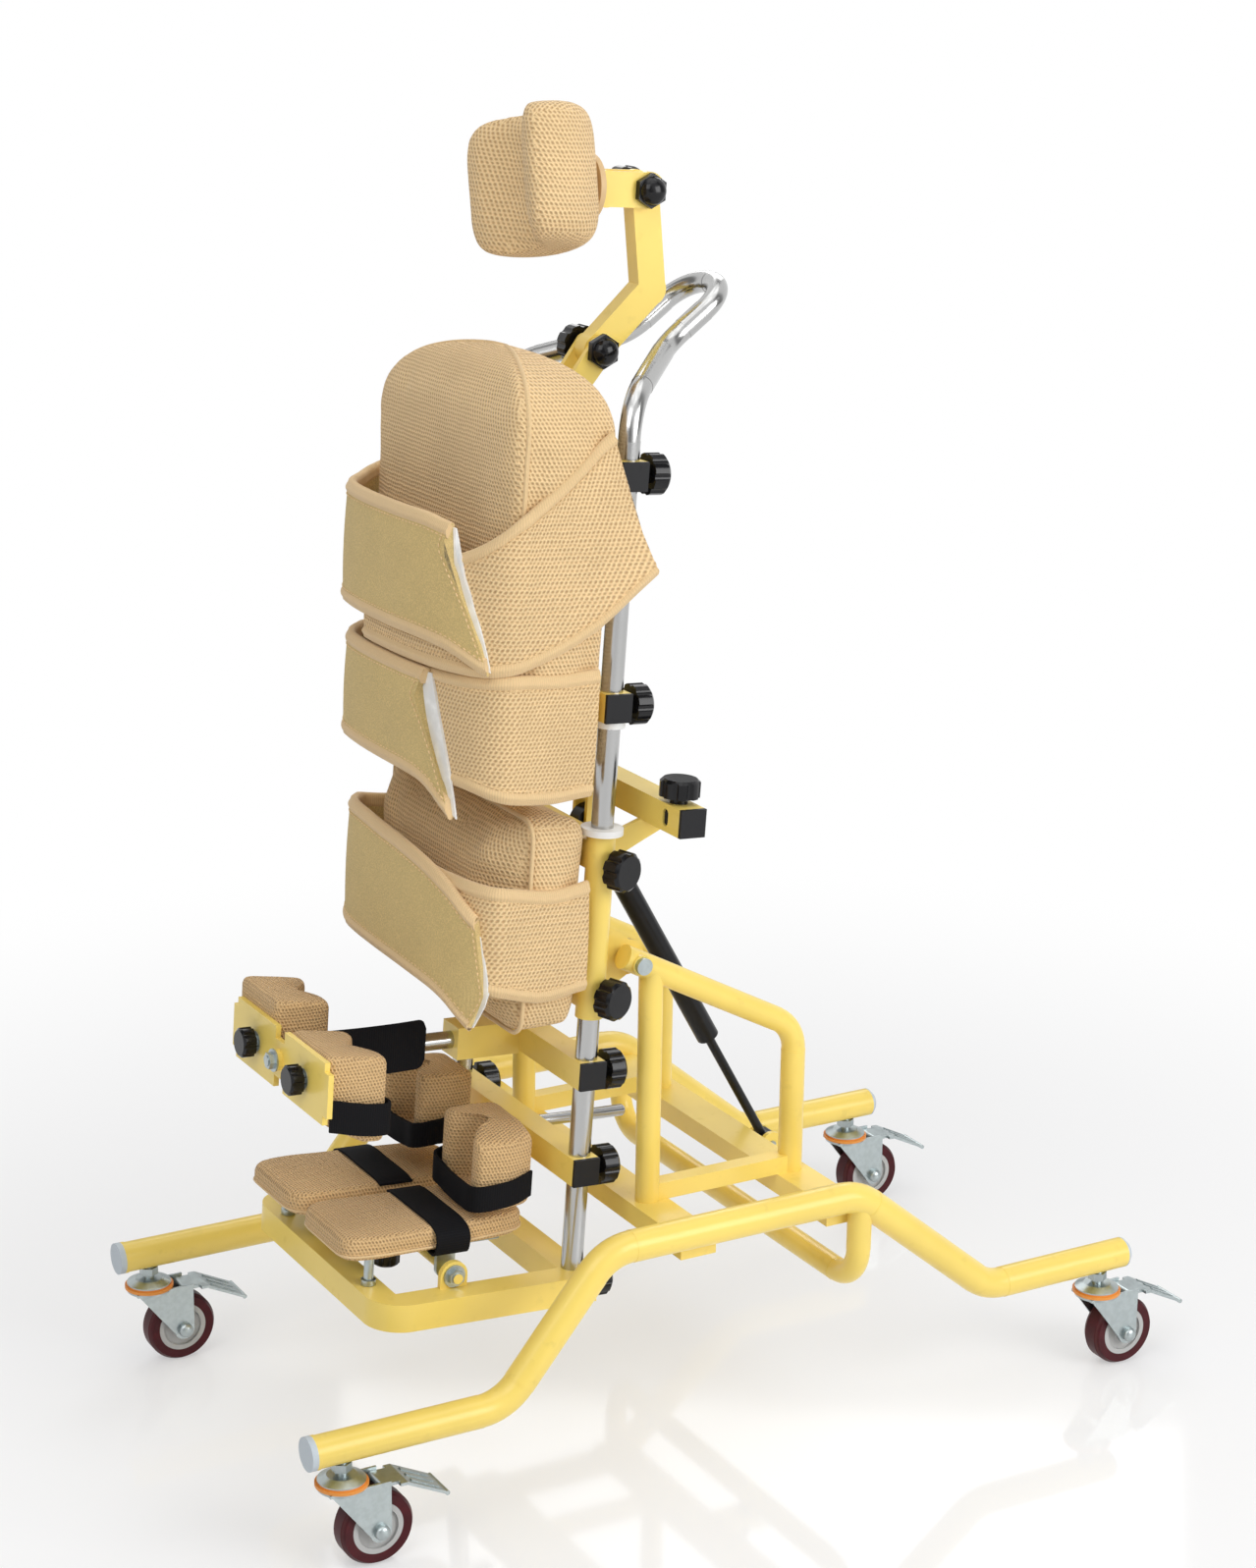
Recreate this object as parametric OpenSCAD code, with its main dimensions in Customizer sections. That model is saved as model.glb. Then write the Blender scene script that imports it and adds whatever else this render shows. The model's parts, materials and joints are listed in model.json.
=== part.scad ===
// Standing frame on casters that tilts back, with padded supports.
// Lengths are millimetres. Front is -Y, the occupant's left is +X, the floor is z = 0.

/* [Base] */
// Length of a leg tube from front cap to rear end
leg_length = 956; // [860:2:1060]
// Distance between the two leg tubes, axis to axis
track = 484; // [440:2:540]
// Diameter of a leg tube
leg_d = 32; // [28:1:36]
// Height of the low ends of the legs, at the axis
leg_low_z = 126; // [120:1:136]
// Height of the raised middle of the legs, at the axis
leg_high_z = 262; // [240:1:280]
// Diameter of the side frame and brace tubes
side_d = 25; // [21:1:28]

/* [Casters] */
// Wheel diameter
wheel_d = 75; // [70:1:80]
// Wheel width
wheel_w = 25; // [20:1:27]
// Reach of the brake pedal behind the swivel axis
pedal_reach = 103; // [95:1:115]

/* [Tilting frame] */
// Height of the tilt pivot
pivot_z = 508; // [490:1:530]
// Distance between the two upright tubes, axis to axis
upright_gap = 256; // [246:1:268]
// Diameter of the sliding upright tubes
upright_d = 22; // [20:1:23]
// Distance from the tilt pivot forward to the uprights
lug_reach = 46; // [42:1:52]
// Lean of the tilting frame as it stands
rest_tilt = 3.6; // [0:0.1:8]
// Side of the square clamp bars
bar_w = 28; // [26:1:31]
// Half length of the lift bar
lift_half = 190; // [175:1:205]

/* [Pads] */
// Width of the back pad and the thigh pad
pad_w = 304; // [290:2:320]
// Thickness of the pads
pad_t = 100; // [80:1:110]
// Height of the back pad
back_h = 398; // [360:2:410]
// Height of the thigh pad
thigh_h = 222; // [190:2:228]
// Thickness of a belt
belt_t = 7; // [5:0.5:8]

/* [Head] */
// Width of the head pad
head_w = 156; // [140:2:170]
// Height of the head pad
head_h = 142; // [120:2:150]
// Roll of the head pad on its plate, the left side up
head_roll = 14; // [0:1:20]

/* [Feet and knees] */
// Width of a footplate
foot_w = 113; // [100:1:116]
// Length of a footplate
foot_l = 192; // [180:1:200]
// Width of the knee plate
knee_w = 224; // [210:2:240]

/* [Knobs] */
// Diameter of a clamp knob
knob_d = 40; // [34:1:42]

/* [Hidden] */
$fn = 48;

// running clearance on a radius, overrun of a cut, and the gap kept between parts that pass each other
fit_gap = 0.05;
over = 1;
pass_gap = 0.4;

// a tube corner is this much slimmer than its straights and runs into them by this angle
corner_slim = 0.7;
corner_lap = 1;

// base levels and places, measured along the legs from their middle
leg_half = leg_length / 2;
half_track = track / 2;
leg_r = leg_d / 2;
leg_bend = leg_d * 1.7;
leg_shares = [-0.569, -0.335, 0.268, 0.617];
leg_corners = [for (s = leg_shares) s * leg_half];
cap_t = leg_d * 0.16;
stem_y = leg_half * 0.925;
stem_d = leg_d * 0.375;
nut_d = leg_d * 0.62;
nut_h = leg_d * 0.25;
side_r = side_d / 2;
half_side = upright_gap / 2 + side_d * 0.16;
cross_w = side_d * 1.6;
cross_h = side_d * 0.88;
cross_top = leg_high_z - leg_r * 0.62;
cross_half = half_track - leg_r * 0.55;
front_y = -leg_half * 0.109;
rear_y = leg_half * 0.247;
brace_y = leg_half * 0.276;
brace_z = leg_low_z * 1.31;
brace_bend = side_d * 1.5;
brace_top = leg_high_z - leg_r * 0.3;
pivot_y = -leg_half * 0.147;
loop_slope = 0.53;
loop_bend = side_d * 1.6;
loop_rear_z = pivot_z - loop_slope * (rear_y - pivot_y);
loop_front_y = pivot_y - side_r * 1.1;
foot_bar_h = side_d * 0.72;
bolt_d = side_d * 0.4;
bolt_head_d = bolt_d * 1.7;
bolt_head_h = bolt_d * 0.5;
washer_t = side_d * 0.08;

// caster, measured from the swivel axis
wheel_r = wheel_d / 2;
trail = wheel_d * 0.427;
hub_d = wheel_d * 0.68;
axle_d = wheel_d * 0.107;
fork_t = wheel_d * 0.034;
fork_in = wheel_w / 2 + wheel_d * 0.034;
fork_top = wheel_d * 1.12;
fork_plate_t = wheel_d * 0.04;
race_d = wheel_d * 0.62;
race_h = wheel_d * 0.14;
race_top = fork_top + fork_plate_t + race_h;
ring_d = race_d * 1.1;
ring_h = wheel_d * 0.04;
pin_y = trail + wheel_d * 0.06;
pin_z = wheel_d * 1.072;
pin_d = wheel_d * 0.053;
barrel_d = wheel_d * 0.095;
pedal_w = wheel_w * 1.6;
pedal_t = wheel_d * 0.04;

// the whole part is centred between its front caps and the rear pedal tips
shift_y = (stem_y + pedal_reach - leg_half) / 2;

// tilting frame, drawn upright and then leaned about the pivot
up_x = upright_gap / 2;
up_r = upright_d / 2;
up_y = pivot_y - lug_reach;
sleeve_d = upright_d * 1.27;
sleeve_r = sleeve_d / 2;
level_shares = [0.896, 1.262, 0.783, 0.585];
sleeve_low = pivot_z * level_shares[0];
sleeve_top = pivot_z * level_shares[1];
thigh_z = pivot_z * level_shares[2];
calf_z = pivot_z * level_shares[3];
collar_d = sleeve_d * 1.5;
collar_h = upright_d * 0.3;
bar_r = bar_w / 2;
bar_end = up_x + bar_w * 0.62;
bar_cap_t = bar_w * 0.14;
bar_rear = up_y + bar_r;
bar_front = up_y - bar_r;
lug_t = side_d * 0.24;
lug_out = half_side - side_r - washer_t - pass_gap;
lug_r = side_d * 0.72;
lug_z = pivot_z * 0.065;
lift_y = pivot_y + lug_reach * 0.4;
lift_z = pivot_z * 1.303;
lift_low = lift_z - bar_r;
lift_knob_x = lift_half * 0.845;
slot_w = bar_w * 0.36;
slot_h = bar_w * 0.62;
stem_knob_d = knob_d * 0.2;
knob_h = knob_d * 0.45;
neck = knob_d * 0.16;

// upper tubes and handle
upper_low = pivot_z * 1.075;
lower_high = pivot_z * 1.025;
handle_z = pivot_z * 2.083;
handle_y = up_y + pivot_z * 0.303;
handle_top = pivot_z * 2.278;
handle_half = upright_gap * 0.15;
handle_bend = upright_d * 2.3;
handle_points = [[0, handle_y, handle_top], [handle_half, handle_y, handle_top],
  [handle_half, handle_y - pivot_z * 0.128, handle_top - pivot_z * 0.108], [up_x, up_y, handle_z], [up_x, up_y, upper_low]];
handle_radii = [0, handle_half * 0.93, handle_bend, handle_bend, 0];

// pads
board_t = bar_w * 0.2;
board_y = bar_front - board_t;
pad_rear = board_y;
pad_deep = pad_t - board_t / 2;
pad_half = pad_w / 2;
thigh_low = sleeve_low - pivot_z * 0.016;
pad_split = pivot_z * 0.0634;
back_low = thigh_low + thigh_h + pad_split;
back_z = back_low + back_h * 0.727;
hip_z = back_low + back_h * 0.168;
board_half = up_x * 0.8;
belt_side_y = pad_rear - pad_t * 0.95;

// head support
head_low_y = up_y + pivot_z * 0.055;
head_low_z = back_low + back_h * 0.98;
head_knee_y = head_low_y + pivot_z * 0.11;
head_knee_z = head_low_z + pivot_z * 0.116;
head_up_y = head_low_y + pivot_z * 0.08;
head_up_z = head_low_z + pivot_z * 0.303;
head_arm_w = bar_w * 1.05;
head_arm_t = bar_w * 0.7;
head_cheek_t = bar_w * 0.22;
head_bolt_d = bar_w * 0.36;
head_pad_t = head_w * 0.42;
head_plate_t = bar_w * 0.2;
head_rear = head_up_y - pivot_z * 0.121;
head_plate_d = head_h * 0.45;
head_mid = head_up_z + head_h * 0.035;

// foot frame
rail_w = bar_w * 1.07;
rail_h = bar_w;
rail_x = up_x + rail_w * 0.43;
rail_top = pivot_z * 0.376;
rail_low = rail_top - rail_h;
foot_front = up_y - foot_l * 1.167;
rail_bend = rail_w * 1.2;
hinge_y = up_y - foot_l * 0.698;
hinge_z = rail_top + bar_w * 0.43;
hinge_d = bar_w * 0.36;
tab_w = bar_w * 1.05;
tab_t = bar_w * 0.2;
plate_t = bar_w * 0.18;
plate_low = rail_top + bar_w * 0.93;
foot_pad_t = bar_w * 0.7;
foot_in = foot_w * 0.045;
plate_front = up_y - foot_l * 1.26;
plate_mid = plate_front + foot_l / 2;
post_d = bar_w * 0.36;
post_y = foot_front + rail_w * 0.5;
post_x = foot_in + foot_w * 0.8;
clamp_x = foot_in + foot_w * 0.6;
clamp_y = hinge_y - knob_d * 1.15;
foot_lug_t = bar_w * 0.2;

// knee and heel supports
knee_rod_d = bar_w * 0.64;
knee_y = up_y - foot_l * 1.41;
knee_plate_t = bar_w * 0.2;
knee_h = knee_w * 0.28;
knee_x = knee_w * 0.255;
knee_bolt_d = bar_w * 0.75;
knee_knob_share = 0.75;
socket_w = bar_w * 1.2;
socket_l = bar_w * 2.5;
cup_w = knee_w * 0.42;
cup_h = knee_w * 0.33;
cup_d = knee_w * 0.295;
cup_edge = knee_w * 0.03;
heel_rod_d = bar_w * 0.44;
heel_plate_t = bar_w * 0.16;
heel_x = foot_w * 0.58;
heel_w = foot_w * 0.81;
heel_h = foot_w * 0.76;
heel_d = foot_w * 0.584;
heel_edge = foot_w * 0.06;
heel_y = up_y - bar_w * 1.3;
heel_rod_rear = up_y + pivot_z * 0.245;

// gas strut, placed from the leaned pivots at rest
strut_pin_d = side_d * 0.32;
strut_top_y = lift_y - lug_reach * 0.1;
strut_top_z = lift_low - bar_w * 1.2;
strut_foot_y = rear_y + cross_w * 1.35;
strut_foot_z = cross_top - side_d * 1.1;
strut_d = side_d * 0.96;
strut_rod_d = side_d * 0.4;
strut_eye_d = side_d * 1.5;
strut_eye_w = side_d * 0.7;
strut_open_d = strut_pin_d * 2.9;
strut_cyl_share = 0.66;
strut_lug_t = side_d * 0.2;
strut_gap = side_d * 0.04;
rod_eye_d = side_d * 0.96;

// turns a point of the upright drawing into the leaned frame
function lean(y, z) = [pivot_y + (y - pivot_y) * cos(rest_tilt) + (z - pivot_z) * sin(rest_tilt),
  pivot_z - (y - pivot_y) * sin(rest_tilt) + (z - pivot_z) * cos(rest_tilt)];
strut_a = lean(strut_top_y, strut_top_z);
strut_b = [strut_foot_y, strut_foot_z];
strut_v = strut_a - strut_b;
strut_len = norm(strut_v);
strut_angle = atan2(strut_v[0], strut_v[1]);
strut_cyl = strut_len * strut_cyl_share;
strut_in = strut_len * 0.2;
strut_depth = strut_len * 0.42;

yellow = [0.93, 0.77, 0.22];
silver = [0.78, 0.79, 0.8];
black = [0.1, 0.1, 0.11];
cloth = [0.85, 0.74, 0.6];
zinc = [0.7, 0.72, 0.73];
tyre = [0.42, 0.08, 0.1];

module at_base() {
  translate([0, -shift_y, 0]) children();
}

module at_tilt() {
  translate([0, pivot_y - shift_y, pivot_z])
    rotate([-rest_tilt, 0, 0])
      translate([0, -pivot_y, -pivot_z]) children();
}

// straight round bar between two points
module rod(p, q, d) {
  v = q - p;
  l = norm(v);
  translate(p) rotate([0, acos(v[2] / l), atan2(v[1], v[0])]) cylinder(d = d, h = l);
}

// length of tube that a rounded corner takes from each straight side
function trim(turn, r) = r * tan(turn / 2);

// round bar that runs along +z and turns; each step is [straight length, roll of the bend, turn, bend radius]
module chain(steps, d, i = 0) {
  l = steps[i][0];
  if (l > 0) cylinder(d = d, h = l);
  if (len(steps[i]) > 1) {
    t = steps[i][2];
    r = steps[i][3];
    translate([0, 0, l]) rotate(steps[i][1]) {
      translate([r, 0, 0]) rotate([90, 0, 0]) rotate(180 - t - corner_lap)
        rotate_extrude(angle = t + 2 * corner_lap) translate([r, 0]) circle(d = d - corner_slim);
      translate([r * (1 - cos(t)), 0, r * sin(t)]) rotate([0, t, 0]) chain(steps, d, i + 1);
    }
  }
}

module both_sides() {
  children();
  mirror([1, 0, 0]) children();
}

// bar along x with its centre at y, z
module x_bar(half, y, z, w, h) {
  translate([-half, y - w / 2, z - h / 2]) cube([half * 2, w, h]);
}

module x_pin(x0, x1, y, z, d) {
  translate([x0, y, z]) rotate([0, 90, 0]) cylinder(d = d, h = x1 - x0);
}

module y_pin(x, y0, y1, z, d) {
  translate([x, y0, z]) rotate([-90, 0, 0]) cylinder(d = d, h = y1 - y0);
}

module z_pin(x, y, z0, z1, d) {
  translate([x, y, z0]) cylinder(d = d, h = z1 - z0);
}

// flat outline in y and z, extruded along x
module x_plate(x0, x1) {
  translate([x0, 0, 0]) rotate([90, 0, 90]) linear_extrude(x1 - x0) children();
}

module bar_2d(p, q, w, round_end = true) {
  v = q - p;
  translate(p) rotate(atan2(v[1], v[0])) translate([0, -w / 2]) square([norm(v), w]);
  translate(p) circle(d = w + 2 * corner_slim);
  if (round_end) translate(q) circle(d = w + 2 * corner_slim);
}

// lobed clamp knob along +z, its stem starting at z = 0 and running back by into
module knob(into) {
  translate([0, 0, -into]) cylinder(d = stem_knob_d, h = into + neck + knob_h / 2);
  translate([0, 0, neck]) {
    difference() {
      cylinder(d = knob_d, h = knob_h);
      for (a = [0 : 45 : 315]) rotate(a) translate([knob_d * 0.57, 0, -over])
        cylinder(d = knob_d * 0.24, h = knob_h + 2 * over);
      translate([0, 0, knob_h]) difference() {
        translate([0, 0, -knob_h * 0.16]) cylinder(d = knob_d + 2 * over, h = knob_h);
        translate([0, 0, -knob_h * 0.16 - over]) cylinder(d1 = knob_d + 2 * over, d2 = knob_d * 0.84, h = knob_h * 0.16 + over);
      }
    }
  }
  cylinder(d = knob_d * 0.45, h = neck);
}

// power that keeps the sign, for the rounded path of a belt
function sp(v, e) = sign(v) * pow(abs(v), e);
function clamp(v) = min(1, max(0, v));

// soft solid through rings of equal count; a ring runs along its low row left to right and back along its high row
module loft(rings) {
  n = len(rings[0]);
  top = (len(rings) - 1) * n;
  half = n / 2;
  low = [for (i = [0 : half - 2]) each [[i, i + 1, n - 1 - i], [i + 1, n - 2 - i, n - 1 - i]]];
  high = [for (f = low) [top + f[1], top + f[0], top + f[2]]];
  sides = [for (k = [0 : len(rings) - 2], i = [0 : n - 1]) let (a = k * n + i, b = k * n + (i + 1) % n)
    each [[a, a + n, b], [b, a + n, b + n]]];
  polyhedron(points = [for (r = rings) each r], faces = concat(low, sides, high), convexity = 6);
}

// rounded rectangle in x and z
round_steps = 5;
function arc(x, z, r, a) = [for (k = [0 : round_steps]) [x + r * cos(a + 90 * k / round_steps), z + r * sin(a + 90 * k / round_steps)]];
function outline(half, low, high, r, s) = concat(arc(r - half, low + r, r, 180), arc(half - r, low + r, r, 270),
  arc(half - s, high - s, s, 0), arc(s - half, high - s, s, 90));

// covered pad from its rear to its crowned front; a row is shares of [depth, half width, low inset, high inset, low radius, high radius]
module pad(rows, low, h) {
  loft([for (l = rows) [for (p = outline(l[1] * pad_half, low + l[2] * h, low + h - l[3] * h, l[4] * pad_half, l[5] * pad_half))
    [p[0], pad_rear - l[0] * pad_deep, p[1]]]]);
}

// foam block standing on a plan in shares of w and d, h high, its ends drawn in over the edge height
edge_shares = [[0, 0.14], [0.3, 0.05], [1, 0]];
function drawn(plan, w, d, s, mid) = [for (p = plan) [p[0] * w * (1 - s), (mid + (p[1] - mid) * (1 - s)) * d]];
module block(plan, w, d, h, edge, mid, draw = 1) {
  low = [for (e = edge_shares) [e[0] * edge, e[1] * draw]];
  high = [for (k = [len(low) - 1 : -1 : 0]) [h - low[k][0], low[k][1]]];
  loft([for (l = concat(low, high)) [for (p = drawn(plan, w, d, l[1], mid)) [p[0], p[1], l[0]]]]);
}

// plan from a low row and a high row, both given left to right
function plan(low, high) = concat(low, [for (k = [len(high) - 1 : -1 : 0]) high[k]]);

// belts; a place is degrees round the front from 0 at the left side of the pad to 180 at the right side,
// and below 0 or above 180 it is hundredths of the pad's thickness back along that side
panel_end = 104;
flap_rise = [150, 112];
side_steps = 8;
panel_steps = 16;
flap_steps = 24;
function belt_spot(p, out, front) = let (hx = pad_half + belt_t * 0.2 + out, fy = front - out)
  p < 0 ? [hx, belt_side_y - p * pad_t / 100] :
  p > 180 ? [-hx, belt_side_y + (p - 180) * pad_t / 100] :
  [hx * sp(cos(p), 0.8), belt_side_y + (fy - belt_side_y) * pow(sin(p), 0.9)];

// a station is [place of the low edge, place of the high edge, low height, high height]
function side_run(rear, far) = [for (k = [0 : side_steps - 1]) let (s = 1 - k / side_steps)
  [far ? 180 + rear[0] * s : -rear[0] * s, far ? 180 + rear[1] * s : -rear[1] * s]];
function heights(places, low, high) = [for (p = places) [p[0], p[1], lookup(p[0], low) * pivot_z, lookup(p[1], high) * pivot_z]];
function flap_out(p) = belt_t * 1.25 * clamp((flap_rise[0] - p) / (flap_rise[0] - flap_rise[1]));

// band through stations, raised off the path where it overlaps the other panel
band_shares = [1, 0.75, 0.5, 0.25, 0];
function band_row(s, edge, front, raised) = [for (v = band_shares) let (p = s[0] + (s[1] - s[0]) * v)
  concat(belt_spot(p, edge + (raised ? flap_out(p) : 0), front), s[2] + (s[3] - s[2]) * v)];
module band(stations, front, raised) {
  edge = raised ? belt_t / 2 : -belt_t / 2;
  loft([for (s = stations) plan(band_row(s, edge, front, raised), band_row(s, -edge, front, raised))]);
}

// left panel, and the flap that comes round from the right and closes over it
module belt(depth, rear, low, high, flap_low, flap_high, flap_end) {
  front = pad_rear - pad_t * depth;
  panel = concat(side_run(rear, false), [for (k = [0 : panel_steps]) [panel_end * k / panel_steps, panel_end * k / panel_steps]]);
  flap = concat(side_run(rear, true), [for (k = [0 : flap_steps])
    [180 + (flap_end[0] - 180) * k / flap_steps, 180 + (flap_end[1] - 180) * k / flap_steps]]);
  band(heights(panel, low, high), front, false);
  band(heights(flap, flap_low, flap_high), front, true);
}

// base
leg_rise = leg_high_z - leg_low_z;
rise_run = leg_corners[1] - leg_corners[0];
drop_run = leg_corners[3] - leg_corners[2];
rise_turn = atan2(leg_rise, rise_run);
drop_turn = atan2(leg_rise, drop_run);
rise_trim = trim(rise_turn, leg_bend);
drop_trim = trim(drop_turn, leg_bend);
leg_round = leg_d * 0.14;

// the leg starts at its front end and runs to the rear; roll -90 bends up, 90 bends down
module leg_solid(d) {
  translate([half_track, cap_t - leg_half, leg_low_z]) rotate([-90, 0, 0]) chain([
    [leg_corners[0] + leg_half - cap_t - rise_trim, -90, rise_turn, leg_bend],
    [norm([rise_run, leg_rise]) - 2 * rise_trim, 180, rise_turn, leg_bend],
    [leg_corners[2] - leg_corners[1] - rise_trim - drop_trim, 0, drop_turn, leg_bend],
    [norm([drop_run, leg_rise]) - 2 * drop_trim, 180, drop_turn, leg_bend],
    [leg_half - leg_round - leg_corners[3] - drop_trim]], d);
}

module leg() {
  difference() {
    union() {
      leg_solid(leg_d);
      translate([half_track, leg_half - leg_round - over, leg_low_z]) rotate([-90, 0, 0])
        cylinder(d1 = leg_d * 0.97, d2 = leg_d - leg_round * 2, h = leg_round + over);
      y_pin(half_track, -leg_half, cap_t * 2 - leg_half, leg_low_z, leg_d * 1.04);
    }
    for (s = [-1, 1]) z_pin(half_track, s * stem_y, leg_low_z - leg_d, leg_low_z, stem_d + 2 * fit_gap);
  }
}

module legs() {
  color(yellow) at_base() both_sides() leg();
}

module cross_tubes() {
  color(yellow) at_base() difference() {
    union() {
      x_bar(cross_half, front_y, cross_top - cross_h / 2, cross_w, cross_h);
      difference() {
        union() {
          x_bar(cross_half, rear_y, cross_top - cross_h / 2, cross_w, cross_h);
          both_sides() x_plate(strut_eye_w / 2 + strut_gap, strut_eye_w / 2 + strut_gap + strut_lug_t) {
            translate([strut_foot_y, strut_foot_z]) circle(d = rod_eye_d * 1.1);
            translate([rear_y, strut_foot_z - rod_eye_d * 0.3]) square([strut_foot_y - rear_y, rod_eye_d * 0.6]);
          }
        }
        x_pin(-half_track, half_track, strut_foot_y, strut_foot_z, strut_pin_d);
      }
      translate([-half_track, brace_y, brace_top]) rotate([180, 0, 0]) chain([
        [brace_top - brace_z - brace_bend, 0, 90, brace_bend],
        [track - 2 * brace_bend, 0, 90, brace_bend],
        [brace_top - brace_z - brace_bend]], side_d);
    }
    both_sides() leg_solid(leg_d);
  }
}

loop_turn = 90 - atan(loop_slope);
loop_trim = trim(loop_turn, loop_bend);
loop_run = norm([rear_y - loop_front_y, loop_slope * (rear_y - loop_front_y)]);

module side_frame() {
  difference() {
    union() {
      translate([half_side, loop_front_y, pivot_z - loop_slope * (loop_front_y - pivot_y)]) rotate([-90 - atan(loop_slope), 0, 0])
        chain([[loop_run - loop_trim, 90, loop_turn, loop_bend], [loop_rear_z - cross_top - loop_trim]], side_d);
      z_pin(half_side, front_y, cross_top, pivot_z - loop_slope * (front_y - pivot_y), side_d * 0.98);
      translate([half_side - foot_bar_h / 2, front_y, cross_top]) cube([foot_bar_h, rear_y - front_y, foot_bar_h]);
      x_pin(half_side - side_r - washer_t, half_side + side_r + washer_t, pivot_y, pivot_z, bolt_head_d * 1.2);
    }
    x_pin(0, half_side + side_d, pivot_y, pivot_z, bolt_d);
  }
}

module side_frames() {
  color(yellow) at_base() both_sides() side_frame();
}

module base_fasteners() {
  color(zinc) at_base() {
    for (s = [-1, 1]) both_sides() {
      z_pin(half_track, s * stem_y, fork_top + fork_plate_t, leg_low_z, stem_d);
      translate([half_track, s * stem_y, leg_low_z - leg_r - nut_h]) difference() {
        cylinder(d = nut_d, h = nut_h, $fn = 6);
        translate([0, 0, -over]) cylinder(d = stem_d, h = nut_h + 2 * over);
      }
    }
    both_sides() {
      x_pin(lug_out - lug_t - bolt_head_h - washer_t, half_side + side_r + washer_t, pivot_y, pivot_z, bolt_d);
      x_pin(half_side + side_r + washer_t, half_side + side_r + washer_t + bolt_head_h, pivot_y, pivot_z, bolt_head_d);
      x_pin(lug_out - lug_t - bolt_head_h - washer_t, lug_out - lug_t - washer_t, pivot_y, pivot_z, bolt_head_d);
    }
    x_pin(-strut_eye_w / 2 - strut_gap - strut_lug_t - washer_t, strut_eye_w / 2 + strut_gap + strut_lug_t + washer_t, strut_foot_y, strut_foot_z, strut_pin_d);
  }
}

// casters
module at_caster(sx, sy) {
  at_base() translate([sx * half_track, sy * stem_y, 0]) children();
}

module fork() {
  difference() {
    union() {
      both_sides() x_plate(fork_in, fork_in + fork_t) {
        translate([trail, wheel_r]) circle(d = wheel_d * 0.3);
        polygon([[-race_d * 0.42, fork_top + fork_plate_t], [pin_y + barrel_d * 0.9, fork_top + fork_plate_t],
          [pin_y + barrel_d * 0.9, pin_z - barrel_d], [trail + wheel_d * 0.15, wheel_r], [trail - wheel_d * 0.14, wheel_r - wheel_d * 0.05]]);
      }
      translate([-fork_in - fork_t, -race_d * 0.42, fork_top]) cube([2 * (fork_in + fork_t), race_d * 0.84, fork_plate_t]);
      translate([0, 0, fork_top]) cylinder(d = race_d, h = fork_plate_t + race_h * 0.62);
      translate([0, 0, fork_top + fork_plate_t + race_h * 0.62]) cylinder(d1 = race_d, d2 = race_d * 0.62, h = race_h * 0.38);
      translate([0, 0, fork_top + fork_plate_t * 1.2]) cylinder(d = ring_d, h = ring_h);
      x_pin(-fork_in - fork_t - wheel_d * 0.05, fork_in + fork_t + wheel_d * 0.05, trail, wheel_r, axle_d * 1.9);
    }
    translate([0, 0, fork_top - over]) cylinder(d = stem_d + 2 * fit_gap, h = race_h * 3);
    x_pin(-fork_in, fork_in, trail, wheel_r, axle_d * 3);
  }
  x_pin(-fork_in, fork_in, trail, wheel_r, axle_d);
  x_pin(-fork_in, fork_in, pin_y, pin_z, pin_d);
}

module wheel() {
  difference() {
    x_pin(-wheel_w * 0.46, wheel_w * 0.46, trail, wheel_r, hub_d);
    x_pin(-wheel_w, wheel_w, trail, wheel_r, axle_d + 2 * fit_gap);
    both_sides() difference() {
      x_pin(wheel_w * 0.34, wheel_w, trail, wheel_r, hub_d * 0.82);
      x_pin(0, wheel_w * 2, trail, wheel_r, hub_d * 0.42);
    }
  }
  translate([0, trail, wheel_r]) rotate([0, 90, 0]) rotate_extrude() polygon([
    [hub_d / 2, -wheel_w * 0.46], [wheel_r - wheel_w * 0.12, -wheel_w / 2], [wheel_r, -wheel_w * 0.3],
    [wheel_r, wheel_w * 0.3], [wheel_r - wheel_w * 0.12, wheel_w / 2], [hub_d / 2, wheel_w * 0.46]]);
}

module pedal() {
  tip_z = pin_z - wheel_d * 0.28;
  tip_y = pedal_reach - pedal_t * 0.8;
  top = [[pin_y + wheel_d * 0.3, pin_z + barrel_d * 0.4], [tip_y, tip_z + pedal_t]];
  rib = [for (s = [0.16, 0.84]) top[0] + (top[1] - top[0]) * s];
  difference() {
    union() {
      x_pin(pass_gap - fork_in, fork_in - pass_gap, pin_y, pin_z, barrel_d);
      x_plate(pass_gap - fork_in, fork_in - pass_gap) polygon([[pin_y, pin_z], [pin_y, pin_z + barrel_d / 2],
        [pin_y + wheel_d * 0.3, pin_z + barrel_d * 0.4], [pin_y + wheel_d * 0.3, pin_z + barrel_d * 0.4 - pedal_t], [pin_y + barrel_d, pin_z]]);
      x_plate(-pedal_w / 2, pedal_w / 2) polygon([[pin_y + wheel_d * 0.2, pin_z + barrel_d * 0.42], [pin_y + wheel_d * 0.3, pin_z + barrel_d * 0.4],
        [tip_y, tip_z + pedal_t], [tip_y, tip_z], [pin_y + wheel_d * 0.29, pin_z + barrel_d * 0.4 - pedal_t], [pin_y + wheel_d * 0.2, pin_z + barrel_d * 0.42 - pedal_t]]);
      for (s = [-0.3, 0, 0.3]) x_plate(pedal_w * (s - 0.06), pedal_w * (s + 0.06)) polygon([rib[0] - [0, pedal_t * 0.5],
        rib[0] + [0, pedal_t * 0.4], rib[1] + [0, pedal_t * 0.4], rib[1] - [0, pedal_t * 0.5]]);
      x_pin(-pedal_w / 2, pedal_w / 2, tip_y, tip_z + pedal_t * 0.5, pedal_t * 1.6);
    }
    x_pin(-wheel_w, wheel_w, pin_y, pin_z, pin_d + 2 * fit_gap);
  }
}

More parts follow.
